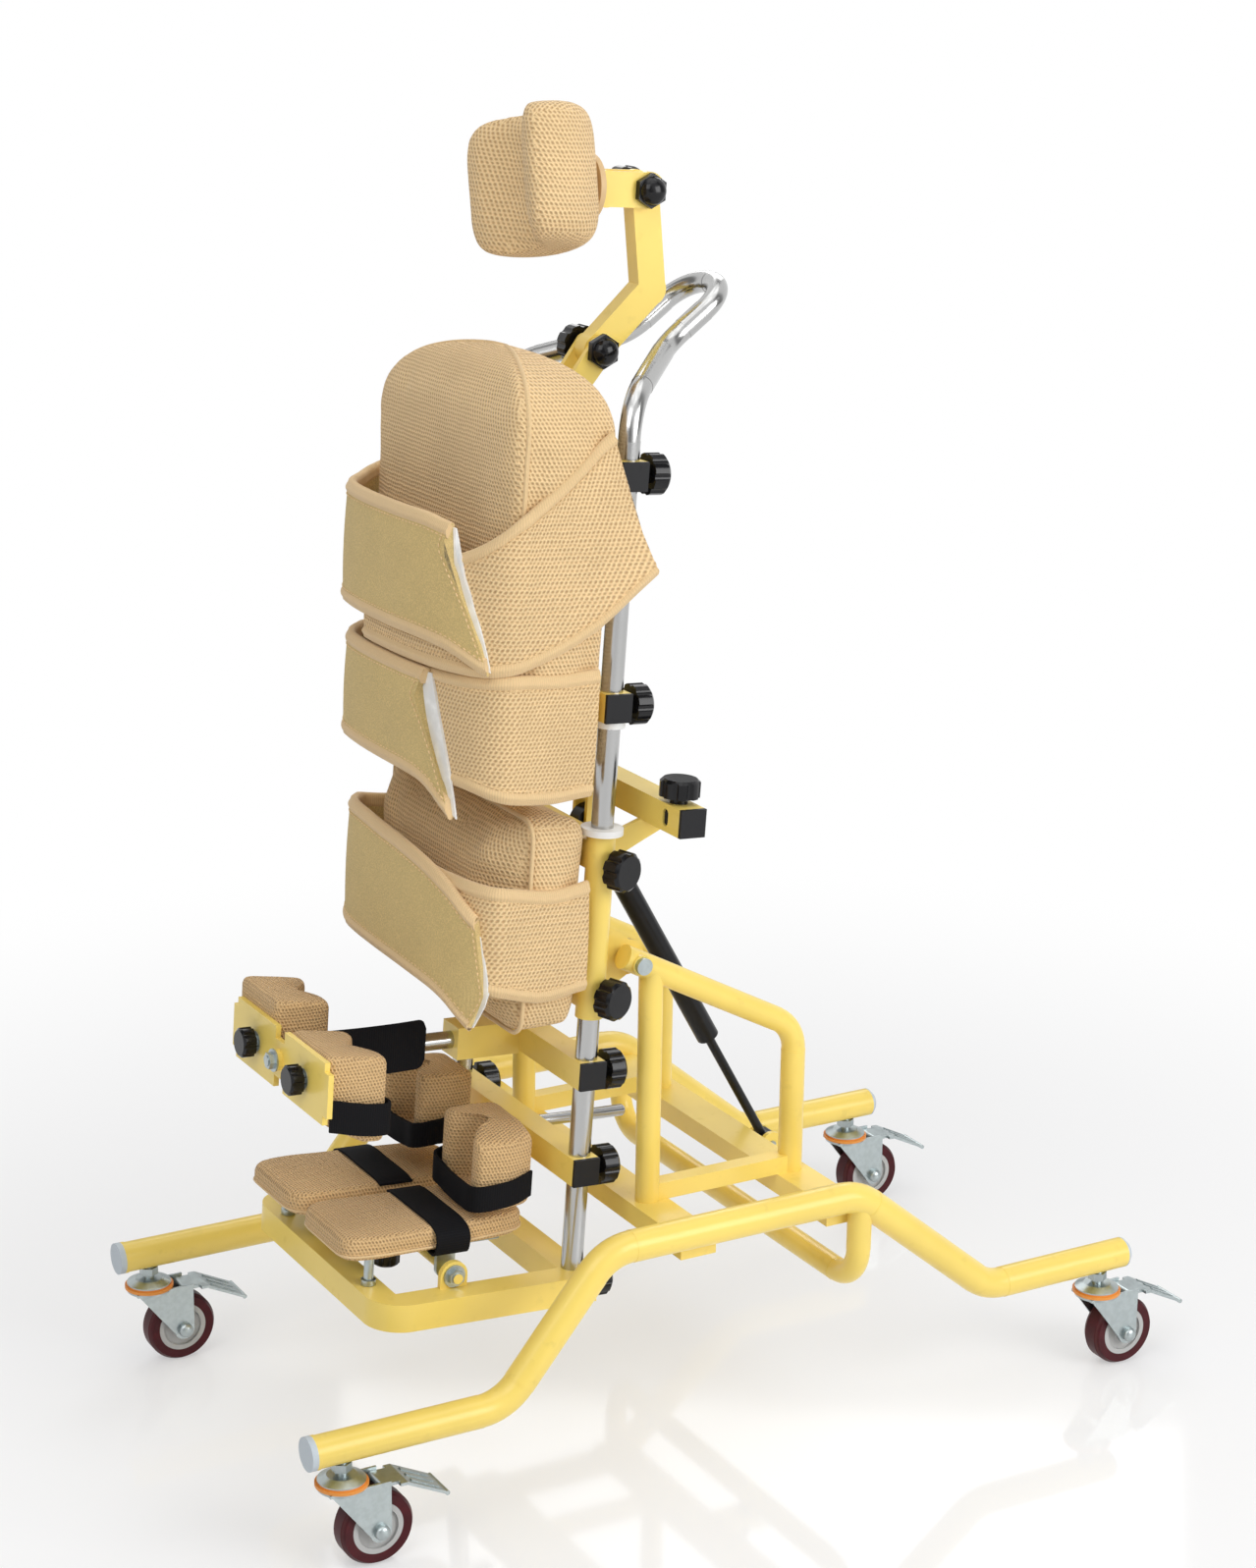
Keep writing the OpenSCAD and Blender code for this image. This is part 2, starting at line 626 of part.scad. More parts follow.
module fork_fl() {
  color(zinc) at_caster(1, -1) fork();
}
module fork_fr() {
  color(zinc) at_caster(-1, -1) fork();
}
module fork_rl() {
  color(zinc) at_caster(1, 1) fork();
}
module fork_rr() {
  color(zinc) at_caster(-1, 1) fork();
}
module wheel_fl() {
  color(tyre) at_caster(1, -1) wheel();
}
module wheel_fr() {
  color(tyre) at_caster(-1, -1) wheel();
}
module wheel_rl() {
  color(tyre) at_caster(1, 1) wheel();
}
module wheel_rr() {
  color(tyre) at_caster(-1, 1) wheel();
}
module pedal_fl() {
  color(zinc) at_caster(1, -1) pedal();
}
module pedal_fr() {
  color(zinc) at_caster(-1, -1) pedal();
}
module pedal_rl() {
  color(zinc) at_caster(1, 1) pedal();
}
module pedal_rr() {
  color(zinc) at_caster(-1, 1) pedal();
}

// tilting frame
sleeve_knob_turn = 20;
upper_knob_z = sleeve_top - pivot_z * 0.062;
lower_knob_z = sleeve_low + pivot_z * 0.048;
lower_rail_z = sleeve_low + bar_w * 0.9;
upper_rail_z = sleeve_top - bar_r - collar_h;

module sleeve_knob_place(z) {
  translate([up_x, up_y, z]) rotate([0, 90, sleeve_knob_turn]) translate([0, 0, sleeve_r]) children();
}

module pivot_frame() {
  color(yellow) at_tilt() {
    difference() {
      union() {
        both_sides() {
          z_pin(up_x, up_y, sleeve_low, sleeve_top, sleeve_d);
          x_plate(lug_out - lug_t, lug_out) {
            translate([pivot_y, pivot_z]) circle(r = lug_r);
            translate([up_y, pivot_z - lug_z]) square([lug_reach * 0.5, lug_z * 2]);
            polygon([[up_y, pivot_z - lug_z], [up_y + lug_reach * 0.5, pivot_z - lug_z], [pivot_y, pivot_z - lug_r],
              [pivot_y, pivot_z + lug_r], [up_y + lug_reach * 0.5, pivot_z + lug_z], [up_y, pivot_z + lug_z]]);
          }
        }
        x_bar(up_x, up_y, upper_rail_z, bar_w, bar_w);
        x_bar(up_x, up_y, lower_rail_z, bar_w, bar_w);
      }
      both_sides() {
        z_pin(up_x, up_y, sleeve_low - over, sleeve_top + over, upright_d + 2 * fit_gap);
        x_pin(0, half_side, pivot_y, pivot_z, bolt_d + 2 * fit_gap);
      }
      for (z = [upper_knob_z, lower_knob_z]) sleeve_knob_place(z) translate([0, 0, -sleeve_r * 0.6])
        cylinder(d = stem_knob_d + 2 * fit_gap, h = sleeve_d);
    }
    both_sides() difference() {
      z_pin(up_x, up_y, sleeve_top, sleeve_top + collar_h, collar_d);
      z_pin(up_x, up_y, sleeve_top - over, sleeve_top + collar_h + over, upright_d + 2 * fit_gap);
    }
  }
}

module lift_bar() {
  arm_top = upper_rail_z + bar_r;
  color(yellow) at_tilt() {
    difference() {
      union() {
        x_bar(lift_half - bar_cap_t, lift_y, lift_z, bar_w, bar_w);
        both_sides() x_plate(lug_out - lug_t, lug_out) polygon([[bar_rear, arm_top - bar_w], [bar_rear, arm_top],
          [lift_y - bar_r, lift_low + over], [lift_y + bar_r, lift_low + over], [lift_y + bar_r, lift_low - bar_w * 0.3], [lift_y - bar_r, lift_low - bar_w * 0.8]]);
        both_sides() x_plate(strut_eye_w / 2 + strut_gap, strut_eye_w / 2 + strut_gap + strut_lug_t) {
          translate([strut_top_y, strut_top_z]) circle(d = rod_eye_d);
          translate([strut_top_y - rod_eye_d / 2, strut_top_z]) square([rod_eye_d, lift_low - strut_top_z]);
        }
        x_pin(-strut_eye_w / 2 - strut_gap - strut_lug_t, strut_eye_w / 2 + strut_gap + strut_lug_t, strut_top_y, strut_top_z, strut_pin_d);
      }
      both_sides() {
        translate([lift_knob_x, 0, 0]) {
          translate([-slot_w / 2, lift_y - bar_w, lift_z - slot_h / 2 + slot_w / 2]) cube([slot_w, bar_w * 2, slot_h - slot_w]);
          for (s = [-1, 1]) y_pin(0, lift_y - bar_w, lift_y + bar_w, lift_z + s * (slot_h - slot_w) / 2, slot_w);
        }
        z_pin(lift_knob_x, lift_y, lift_z, lift_z + bar_w, stem_knob_d + 2 * fit_gap);
      }
    }
    both_sides() translate([lift_half - bar_cap_t, lift_y - bar_r, lift_low]) cube([bar_cap_t, bar_w, bar_w]);
  }
}

// rounded corner of a round bar at p, from direction u into direction v
module bend(p, u, v, r, d) {
  t = acos(u * v);
  ex = (u * cos(t) - v) / sin(t);
  ez = cross(ex, u);
  c = p - u * trim(t, r) - ex * r;
  multmatrix([[ex[0], u[0], ez[0], c[0]], [ex[1], u[1], ez[1], c[1]], [ex[2], u[2], ez[2], c[2]], [0, 0, 0, 1]])
    rotate(-corner_lap) rotate_extrude(angle = t + 2 * corner_lap) translate([r, 0]) circle(d = d - corner_slim);
}

// the handle runs from its middle outwards, forward between its two arms, then out and down into the uprights
function handle_run(k) = let (v = handle_points[k + 1] - handle_points[k]) v / norm(v);
function handle_cut(k) = k < 1 || k > 3 ? 0 : trim(acos(handle_run(k - 1) * handle_run(k)), handle_radii[k]);

module push_handle() {
  color(silver) at_tilt() {
    x_pin(handle_cut(1) - handle_half, handle_half - handle_cut(1), handle_y, handle_top, upright_d);
    both_sides() for (k = [1 : 3]) {
      bend(handle_points[k], handle_run(k - 1), handle_run(k), handle_radii[k], upright_d);
      rod(handle_points[k] + handle_run(k) * handle_cut(k), handle_points[k + 1] - handle_run(k) * handle_cut(k + 1), upright_d);
    }
  }
}

// square bar that clamps on both uprights at height z
module clamp_bar(z) {
  difference() {
    x_bar(bar_end - bar_cap_t, up_y, z, bar_w, bar_w);
    both_sides() {
      z_pin(up_x, up_y, z - bar_w, z + bar_w, upright_d + 2 * fit_gap);
      y_pin(up_x, up_y, up_y + bar_w, z, stem_knob_d + 2 * fit_gap);
    }
    children();
  }
  both_sides() translate([bar_end - bar_cap_t, bar_front, z - bar_r]) cube([bar_cap_t, bar_w, bar_w]);
}

module back_bar() {
  color(yellow) at_tilt() clamp_bar(back_z);
}
module hip_bar() {
  color(yellow) at_tilt() {
    clamp_bar(hip_z);
    both_sides() difference() {
      z_pin(up_x, up_y, hip_z - bar_r - collar_h, hip_z - bar_r, bar_w * 1.1);
      z_pin(up_x, up_y, hip_z - bar_w - collar_h, hip_z, upright_d + 2 * fit_gap);
    }
  }
}

module thigh_bar() {
  color(yellow) at_tilt() {
    clamp_bar(thigh_z) y_pin(0, up_y - bar_w, up_y + bar_w, thigh_z, knee_rod_d + 2 * fit_gap);
    difference() {
      translate([-socket_w / 2, bar_front - socket_l, thigh_z - socket_w / 2]) cube([socket_w, socket_l, socket_w]);
      y_pin(0, bar_front - socket_l - over, up_y, thigh_z, knee_rod_d + 2 * fit_gap);
    }
  }
}

module calf_bar() {
  color(yellow) at_tilt() clamp_bar(calf_z) y_pin(0, up_y - bar_w, up_y + bar_w, calf_z, heel_rod_d + 2 * fit_gap);
}

// pads and belts
back_pad_shares = [[-0.02, 0.882, 0.037, 0.138, 0.197, 0.408], [0.06, 0.96, 0.012, 0.108, 0.21, 0.46],
  [0.3, 0.987, 0.002, 0.053, 0.21, 0.526], [0.6, 0.987, 0, 0.023, 0.21, 0.553], [0.9, 0.997, 0, 0.003, 0.224, 0.566],
  [0.96, 0.997, 0, 0, 0.224, 0.566], [1, 0.97, 0.007, 0.009, 0.22, 0.55], [1.035, 0.86, 0.05, 0.05, 0.2, 0.5],
  [1.05, 0.64, 0.14, 0.14, 0.16, 0.4]];
thigh_pad_shares = [[-0.02, 0.66, 0.1, 0.1, 0.08, 0.08], [0.028, 0.66, 0.1, 0.1, 0.08, 0.08],
  [0.03, 0.895, 0.068, 0.068, 0.08, 0.08], [0.14, 0.993, 0.005, 0.005, 0.118, 0.118], [0.4, 0.997, 0, 0, 0.13, 0.13],
  [0.65, 0.997, 0, 0, 0.13, 0.13], [0.69, 0.987, 0.009, 0.009, 0.13, 0.13], [0.98, 0.763, 0.167, 0.167, 0.092, 0.092],
  [1.01, 0.7, 0.2, 0.2, 0.08, 0.08]];

module back_pad() {
  cheek = head_arm_t / 2 + pass_gap;
  color(cloth) at_tilt() {
    pad(back_pad_shares, back_low, back_h);
    translate([-board_half, board_y, back_low + back_h * 0.08]) cube([board_half * 2, board_t, back_h * 0.8]);
    difference() {
      both_sides() x_plate(cheek, cheek + head_cheek_t) {
        translate([head_low_y, head_low_z]) circle(d = head_arm_w * 1.1);
        translate([bar_front, head_low_z - head_arm_w * 0.9]) square([head_low_y - bar_front, head_arm_w * 1.2]);
        translate([board_y, back_low + back_h * 0.7]) square([board_t, head_low_z + head_arm_w * 0.3 - back_low - back_h * 0.7]);
      }
      x_pin(-pad_half, pad_half, head_low_y, head_low_z, head_bolt_d + 2 * fit_gap);
    }
  }
}

module thigh_pad() {
  color(cloth) at_tilt() {
    pad(thigh_pad_shares, thigh_low, thigh_h);
    translate([-board_half, board_y, thigh_low + thigh_h * 0.1]) cube([board_half * 2, board_t, thigh_h * 0.8]);
  }
}

// belt heights along their places, in shares of the pivot height
chest_low_shares = [[-140, 1.785], [-81, 1.677], [-41, 1.634], [0, 1.602], [20, 1.592], [110, 1.59]];
chest_high_shares = [[-82, 2.079], [-61, 2.02], [-41, 1.969], [-21, 1.923], [0, 1.888], [20, 1.843], [40, 1.805], [60, 1.781], [110, 1.772]];
chest_flap_low_shares = [[22, 1.587], [40, 1.628], [60, 1.646], [150, 1.646], [180, 1.642], [221, 1.65], [261, 1.677], [320, 1.785]];
chest_flap_high_shares = [[50, 1.846], [60, 1.862], [150, 1.862], [180, 1.88], [201, 1.923], [221, 1.969], [241, 2.02], [262, 2.079]];
hip_low_shares = [[-84, 1.358], [-41, 1.343], [0, 1.346], [20, 1.358], [40, 1.378], [110, 1.382]];
hip_high_shares = [[-84, 1.587], [-41, 1.579], [0, 1.583], [60, 1.571], [110, 1.567]];
hip_flap_low_shares = [[44, 1.295], [50, 1.331], [60, 1.366], [70, 1.378], [100, 1.38], [180, 1.374], [264, 1.358]];
hip_flap_high_shares = [[67, 1.569], [180, 1.563], [264, 1.575]];
thigh_low_shares = [[-94, 0.98], [-41, 0.961], [0, 0.98], [20, 0.988], [110, 0.988]];
thigh_high_shares = [[-94, 1.181], [-41, 1.163], [0, 1.177], [110, 1.185]];
thigh_flap_low_shares = [[31, 0.906], [40, 0.937], [50, 0.961], [60, 0.972], [90, 0.986], [180, 0.988], [274, 0.98]];
thigh_flap_high_shares = [[30, 1.11], [40, 1.146], [60, 1.189], [80, 1.213], [110, 1.23], [180, 1.205], [274, 1.189]];

module chest_belt() {
  color(cloth) at_tilt() belt(1.56, [140, 82], chest_low_shares, chest_high_shares, chest_flap_low_shares, chest_flap_high_shares, [25, 55]);
}
module hip_belt() {
  color(cloth) at_tilt() belt(1.47, [84, 84], hip_low_shares, hip_high_shares, hip_flap_low_shares, hip_flap_high_shares, [47, 70]);
}
module thigh_belt() {
  color(cloth) at_tilt() belt(1.32, [92, 88], thigh_low_shares, thigh_high_shares, thigh_flap_low_shares, thigh_flap_high_shares, [28, 28]);
}

// head support
module head_lower_arm() {
  color(yellow) at_tilt() difference() {
    x_plate(-head_arm_t / 2, head_arm_t / 2) {
      bar_2d([head_low_y, head_low_z], [head_knee_y, head_knee_z], head_arm_w);
      bar_2d([head_up_y, head_up_z], [head_knee_y, head_knee_z], head_arm_w, false);
    }
    x_pin(-pad_half, pad_half, head_low_y, head_low_z, head_bolt_d + 2 * fit_gap);
    x_pin(-pad_half, pad_half, head_up_y, head_up_z, head_bolt_d + 2 * fit_gap);
  }
}

module head_upper_arm() {
  cheek = head_arm_t / 2 + pass_gap;
  color(yellow) at_tilt() {
    difference() {
      both_sides() x_plate(cheek, cheek + head_cheek_t) bar_2d([head_rear + head_arm_w / 2, head_up_z], [head_up_y, head_up_z], head_arm_w * 1.15);
      x_pin(-pad_half, pad_half, head_up_y, head_up_z, head_bolt_d + 2 * fit_gap);
      translate([-pad_half, head_rear - head_arm_w, head_up_z - head_arm_w]) cube([pad_w, head_arm_w, head_arm_w * 2]);
    }
    difference() {
      y_pin(0, head_rear, head_rear + head_plate_t, head_up_z, head_plate_d);
      y_pin(0, head_rear - over, head_rear + head_plate_t + over, head_up_z, head_bolt_d + 2 * fit_gap);
    }
  }
}

// two wings either side of a valley, rolled on the plate
head_front_shares = [[-0.5, -0.8], [-0.46, -1.3], [-0.36, -1.4], [-0.225, -1.14], [-0.1, -0.94], [0, -0.86],
  [0.1, -0.94], [0.225, -1.14], [0.36, -1.4], [0.46, -1.3], [0.5, -0.8]];
head_back_shares = [[-0.5, -0.55], [-0.46, -0.22], [-0.36, -0.1], [-0.225, -0.02], [-0.1, 0], [0, 0],
  [0.1, 0], [0.225, -0.02], [0.36, -0.1], [0.46, -0.22], [0.5, -0.55]];
module head_pad() {
  color(cloth) at_tilt() translate([0, head_rear - pass_gap, head_up_z]) {
    rotate([0, -head_roll, 0]) translate([0, 0, head_mid - head_up_z - head_h / 2])
      block(plan(head_front_shares, head_back_shares), head_w, head_pad_t, head_h, head_h * 0.2, -0.6);
    y_pin(0, -head_pad_t * 0.3, pass_gap + head_plate_t * 0.7, 0, head_bolt_d);
  }
}

// foot frame
module lower_tubes() {
  color(silver) at_tilt() both_sides() z_pin(up_x, up_y, rail_low + plate_t, lower_high, upright_d);
}

module foot_frame() {
  color(yellow) at_tilt() {
    difference() {
      union() {
        translate([0, 0, rail_low]) linear_extrude(rail_h) difference() {
          union() {
            translate([-rail_x - rail_w / 2, foot_front + rail_bend]) square([rail_x * 2 + rail_w, up_y + rail_w / 2 - foot_front - rail_bend]);
            translate([-rail_x - rail_w / 2 + rail_bend, foot_front]) square([rail_x * 2 + rail_w - 2 * rail_bend, rail_bend * 2]);
            for (s = [-1, 1]) translate([s * (rail_x + rail_w / 2 - rail_bend), foot_front + rail_bend]) circle(r = rail_bend);
          }
          translate([rail_w / 2 - rail_x, foot_front + rail_w]) square([rail_x * 2 - rail_w, up_y - rail_w * 1.5 - foot_front]);
        }
        both_sides() x_plate(rail_x - rail_w / 2, rail_x - rail_w / 2 + tab_t) {
          translate([hinge_y, hinge_z]) circle(d = tab_w);
          translate([hinge_y - tab_w / 2, rail_top]) square([tab_w, hinge_z - rail_top]);
        }
        x_pin(-rail_x, rail_x, hinge_y, hinge_z, hinge_d);
      }
      both_sides() {
        z_pin(up_x, up_y, rail_low + plate_t, rail_top + over, upright_d);
      }
      y_pin(up_x, up_y, up_y + rail_w, rail_low + rail_h / 2, stem_knob_d + 2 * fit_gap);
    }
  }
}

foot_front_shares = [[-0.5, 0.12], [-0.44, 0.02], [-0.32, 0], [0, 0], [0.32, 0], [0.45, 0.03], [0.5, 0.16]];
foot_back_shares = [[-0.48, 0.82], [-0.4, 0.95], [-0.28, 1], [0, 1], [0.26, 1], [0.38, 0.95], [0.48, 0.56]];
module footplate() {
  lug_x = [foot_in + foot_lug_t, foot_in + foot_w - 2 * foot_lug_t];
  difference() {
    union() {
      translate([foot_in, plate_front, plate_low]) cube([foot_w, foot_l, plate_t]);
      for (x = lug_x) x_plate(x, x + foot_lug_t) {
        translate([hinge_y, hinge_z]) circle(d = hinge_d * 2);
        translate([hinge_y - hinge_d, hinge_z]) square([hinge_d * 2, plate_low - hinge_z]);
      }
      z_pin(post_x, post_y, rail_top + pass_gap, plate_low, post_d);
    }
    x_pin(-pad_half, pad_half, hinge_y, hinge_z, hinge_d + 2 * fit_gap);
    z_pin(clamp_x, clamp_y, plate_low - over, plate_low + plate_t + over, stem_knob_d + 2 * fit_gap);
  }
  translate([foot_in + foot_w / 2, plate_front, plate_low + plate_t - pass_gap])
    block(plan(foot_front_shares, foot_back_shares), foot_w, foot_l, foot_pad_t, foot_pad_t * 0.35, 0.5, 0.4);
}

module footplate_left() {
  color(cloth) at_tilt() footplate();
}
module footplate_right() {
  color(cloth) at_tilt() mirror([1, 0, 0]) footplate();
}

heel_front_shares = [[-0.5, -0.45], [-0.46, -0.9], [-0.27, -0.94], [-0.155, -0.52], [0, -0.37], [0.155, -0.52],
  [0.27, -1], [0.45, -1], [0.5, -0.45]];
heel_back_shares = [[-0.47, 0], [-0.4, 0], [-0.27, 0], [-0.155, 0], [0, 0], [0.155, 0], [0.27, 0], [0.4, 0], [0.47, 0]];
module heel_support() {
  color(cloth) at_tilt() {
    y_pin(0, heel_y, heel_rod_rear, calf_z, heel_rod_d);
    translate([-heel_x - heel_w * 0.3, heel_y - heel_plate_t, calf_z - bar_r]) cube([heel_x * 2 + heel_w * 0.6, heel_plate_t, bar_w]);
    both_sides() translate([heel_x, heel_y - heel_plate_t + pass_gap, calf_z - heel_h * 0.44])
      block(plan(heel_front_shares, heel_back_shares), heel_w, heel_d, heel_h, heel_edge, -0.25);
  }
}

// knee support
module knee_arm() {
  color(silver) at_tilt() y_pin(0, knee_y + knee_plate_t + pass_gap, bar_front - socket_l * 0.2, thigh_z, knee_rod_d);
}

module knee_plate() {
  color(yellow) at_tilt() difference() {
    union() {
      translate([0, knee_y + knee_plate_t, thigh_z]) rotate([90, 0, 0]) linear_extrude(knee_plate_t) {
        for (s = [-1, 1]) translate([s * knee_x, 0]) {
          square([knee_w / 2 - knee_h * 0.3, knee_h], center = true);
          translate([s * (knee_w / 4 - knee_h * 0.15), 0]) square([knee_h * 0.3, knee_h * 0.7], center = true);
        }
        square([knee_x * 2, knee_h * 0.6], center = true);
      }
      y_pin(0, knee_y - knee_plate_t, knee_y, thigh_z, knee_bolt_d);
      y_pin(0, knee_y + knee_plate_t, knee_y + knee_plate_t + pass_gap, thigh_z, knee_rod_d * 0.8);
    }
    for (s = [-1, 1]) y_pin(s * knee_x, knee_y - over, knee_y + knee_plate_t + over, thigh_z, stem_knob_d * knee_knob_share + 2 * fit_gap);
  }
}

cup_front_shares = [[-0.49, 0], [-0.43, 0], [-0.27, 0], [-0.06, 0], [0.06, 0], [0.27, 0], [0.43, 0], [0.49, 0]];
cup_back_shares = [[-0.5, 0.6], [-0.46, 0.91], [-0.27, 0.91], [-0.06, 0.7], [0.06, 0.7], [0.27, 0.97], [0.46, 1], [0.5, 0.6]];
module knee_cups() {
  color(cloth) at_tilt() both_sides() translate([knee_x, knee_y + knee_plate_t - pass_gap, thigh_z - cup_h / 2])
    block(plan(cup_front_shares, cup_back_shares), cup_w, cup_d, cup_h, cup_edge, 0.42);
}

// gas strut
module at_strut() {
  at_base() translate([0, strut_b[0], strut_b[1]]) rotate([-strut_angle, 0, 0]) children();
}

module gas_rod() {
  color(silver) at_strut() difference() {
    union() {
      x_pin(-strut_eye_w / 2, strut_eye_w / 2, 0, 0, rod_eye_d);
      cylinder(d = strut_rod_d, h = strut_len - strut_cyl + strut_in);
    }
    x_pin(-strut_eye_w, strut_eye_w, 0, 0, strut_pin_d + 2 * fit_gap);
  }
}

module gas_cylinder() {
  color(black) at_strut() difference() {
    union() {
      translate([0, 0, strut_len - strut_cyl]) cylinder(d = strut_d, h = strut_cyl - strut_eye_d / 2);
      x_pin(-strut_eye_w / 2, strut_eye_w / 2, 0, strut_len, strut_eye_d);
      translate([-strut_eye_w / 2, -strut_d / 4, strut_len - strut_eye_d]) cube([strut_eye_w, strut_d / 2, strut_eye_d * 0.6]);
    }
    translate([0, 0, strut_len - strut_cyl - over]) cylinder(d = strut_rod_d + 2 * fit_gap, h = strut_depth);
    x_pin(-strut_eye_w, strut_eye_w, 0, strut_len, strut_open_d);
  }
}

// knobs
module bar_knob(sx, z) {
  color(black) at_tilt() translate([sx * up_x, bar_rear, z]) rotate([-90, 0, 0]) knob(bar_r - up_r - pass_gap);
}
module back_knob_left() {
  bar_knob(1, back_z);
}
module back_knob_right() {
  bar_knob(-1, back_z);
}
module hip_knob_left() {
  bar_knob(1, hip_z);
}
module hip_knob_right() {
  bar_knob(-1, hip_z);
}
module thigh_knob_left() {
  bar_knob(1, thigh_z);
}
module thigh_knob_right() {
  bar_knob(-1, thigh_z);
}
module calf_knob_left() {
  bar_knob(1, calf_z);
}
module calf_knob_right() {
  bar_knob(-1, calf_z);
}
module sleeve_knob_upper() {
  color(black) at_tilt() sleeve_knob_place(upper_knob_z) knob(sleeve_r - up_r - pass_gap);
}
module sleeve_knob_lower() {
  color(black) at_tilt() sleeve_knob_place(lower_knob_z) knob(sleeve_r - up_r - pass_gap);
}
module lift_knob(sx) {
  color(black) at_tilt() translate([sx * lift_knob_x, lift_y, lift_z + bar_r]) knob(bar_r * 0.6);
}
module lift_knob_left() {
  lift_knob(1);
}
module lift_knob_right() {
  lift_knob(-1);
}
// bolt through the cheeks with a lobed knob on the right and a domed cap nut on the left
module head_knob(y, z) {
  reach = head_arm_t / 2 + pass_gap + head_cheek_t;
  color(black) at_tilt() translate([-reach, y, z]) rotate([0, -90, 0]) {
    knob(head_cheek_t);
    translate([0, 0, -reach * 2]) cylinder(d = head_bolt_d, h = reach * 2);
    translate([0, 0, -reach * 2 - bar_r * 0.5]) cylinder(d = knob_d * 0.85, h = bar_r * 0.5, $fn = 6);
    translate([0, 0, -reach * 2 - bar_r * 0.9]) cylinder(d1 = knob_d * 0.36, d2 = knob_d * 0.7, h = bar_r * 0.4);
  }
}
module head_lower_knob() {
  head_knob(head_low_y, head_low_z);
}
module head_upper_knob() {
  head_knob(head_up_y, head_up_z);
}
module knee_knob(sx) {
  color(black) at_tilt() translate([sx * knee_x, knee_y, thigh_z]) rotate([90, 0, 0]) scale(knee_knob_share) knob(knee_plate_t * 0.8);
}
module knee_knob_left() {
  knee_knob(1);
}
module knee_knob_right() {
  knee_knob(-1);
}
module foot_knob(sx) {
  color(black) at_tilt() translate([sx * clamp_x, clamp_y, plate_low]) rotate([180, 0, 0]) scale(0.7) knob(plate_t);
}
module foot_knob_left() {
  foot_knob(1);
}
module foot_knob_right() {
  foot_knob(-1);
}
module foot_frame_knob() {
  color(black) at_tilt() translate([up_x, up_y + rail_w / 2, rail_low + rail_h / 2]) rotate([-90, 0, 0]) knob(rail_w / 2 - up_r - pass_gap);
}

legs();
cross_tubes();
side_frames();
base_fasteners();
fork_fl();
fork_fr();
fork_rl();
fork_rr();
wheel_fl();
wheel_fr();
wheel_rl();
wheel_rr();
pedal_fl();
pedal_fr();
pedal_rl();
pedal_rr();
pivot_frame();
lift_bar();
push_handle();
back_bar();
hip_bar();
thigh_bar();
calf_bar();
back_pad();
thigh_pad();
chest_belt();
hip_belt();
thigh_belt();
head_lower_arm();
head_upper_arm();
head_pad();
lower_tubes();
foot_frame();
footplate_left();
footplate_right();
heel_support();
knee_arm();
knee_plate();
knee_cups();
gas_cylinder();
gas_rod();
back_knob_left();
back_knob_right();
hip_knob_left();
hip_knob_right();
thigh_knob_left();
thigh_knob_right();
calf_knob_left();
calf_knob_right();
sleeve_knob_upper();
sleeve_knob_lower();
lift_knob_left();
lift_knob_right();
head_lower_knob();
head_upper_knob();
knee_knob_left();
knee_knob_right();
foot_knob_left();
foot_knob_right();
foot_frame_knob();
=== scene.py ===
"""Looks of a tilting standing frame: finishes for its solids, and its pads, belts and straps."""

import json
import math
from dataclasses import dataclass

import bmesh
import bpy
import numpy as np
from mathutils import Matrix, Vector
from mathutils.bvhtree import BVHTree


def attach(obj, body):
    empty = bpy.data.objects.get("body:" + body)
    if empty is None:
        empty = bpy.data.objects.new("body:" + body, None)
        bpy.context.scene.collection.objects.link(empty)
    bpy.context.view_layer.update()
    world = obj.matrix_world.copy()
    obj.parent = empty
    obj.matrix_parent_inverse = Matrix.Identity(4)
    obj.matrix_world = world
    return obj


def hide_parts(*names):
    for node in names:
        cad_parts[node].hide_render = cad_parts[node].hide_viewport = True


bl_info = {
    "name": "Standing Frame Looks",
    "version": (1, 0, 0),
    "blender": (4, 5, 0),
    "location": "View3D > Sidebar > Standing Frame",
    "description": "Dresses a tilting standing frame with finishes, pads, belts and straps",
    "category": "Object",
}

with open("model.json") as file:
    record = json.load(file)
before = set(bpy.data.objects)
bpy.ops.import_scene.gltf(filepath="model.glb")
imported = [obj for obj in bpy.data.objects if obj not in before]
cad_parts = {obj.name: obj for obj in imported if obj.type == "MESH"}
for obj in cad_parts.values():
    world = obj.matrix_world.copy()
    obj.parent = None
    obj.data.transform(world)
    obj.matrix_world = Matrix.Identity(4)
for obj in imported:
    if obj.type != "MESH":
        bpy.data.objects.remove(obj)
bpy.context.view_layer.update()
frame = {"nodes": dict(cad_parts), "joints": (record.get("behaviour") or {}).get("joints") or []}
NODES = frame["nodes"]
JOINTS = {joint["name"]: joint for joint in frame["joints"]}

MM = 0.001

# Places on the tilting section are measured in mm as if it stood upright, then leaned about the pivot
PIVOT_Y = -70.266
PIVOT_Z = 508.0
REST_LEAN = math.radians(3.6)
PIVOT = Vector(JOINTS["tilt"]["pos_m"])

# Camera of the photograph, whose height is in pixels
PHOTO_H = 1597
FOCAL_PX = 3200
SENSOR_MM = 36
CAMERA_AT = (2.64883, -1.57343, 1.53090)
CAMERA_RIGHT = (0.49751961, 0.86732439, 0.014921)
CAMERA_UP = (-0.24784948, 0.1256469, 0.9606162)

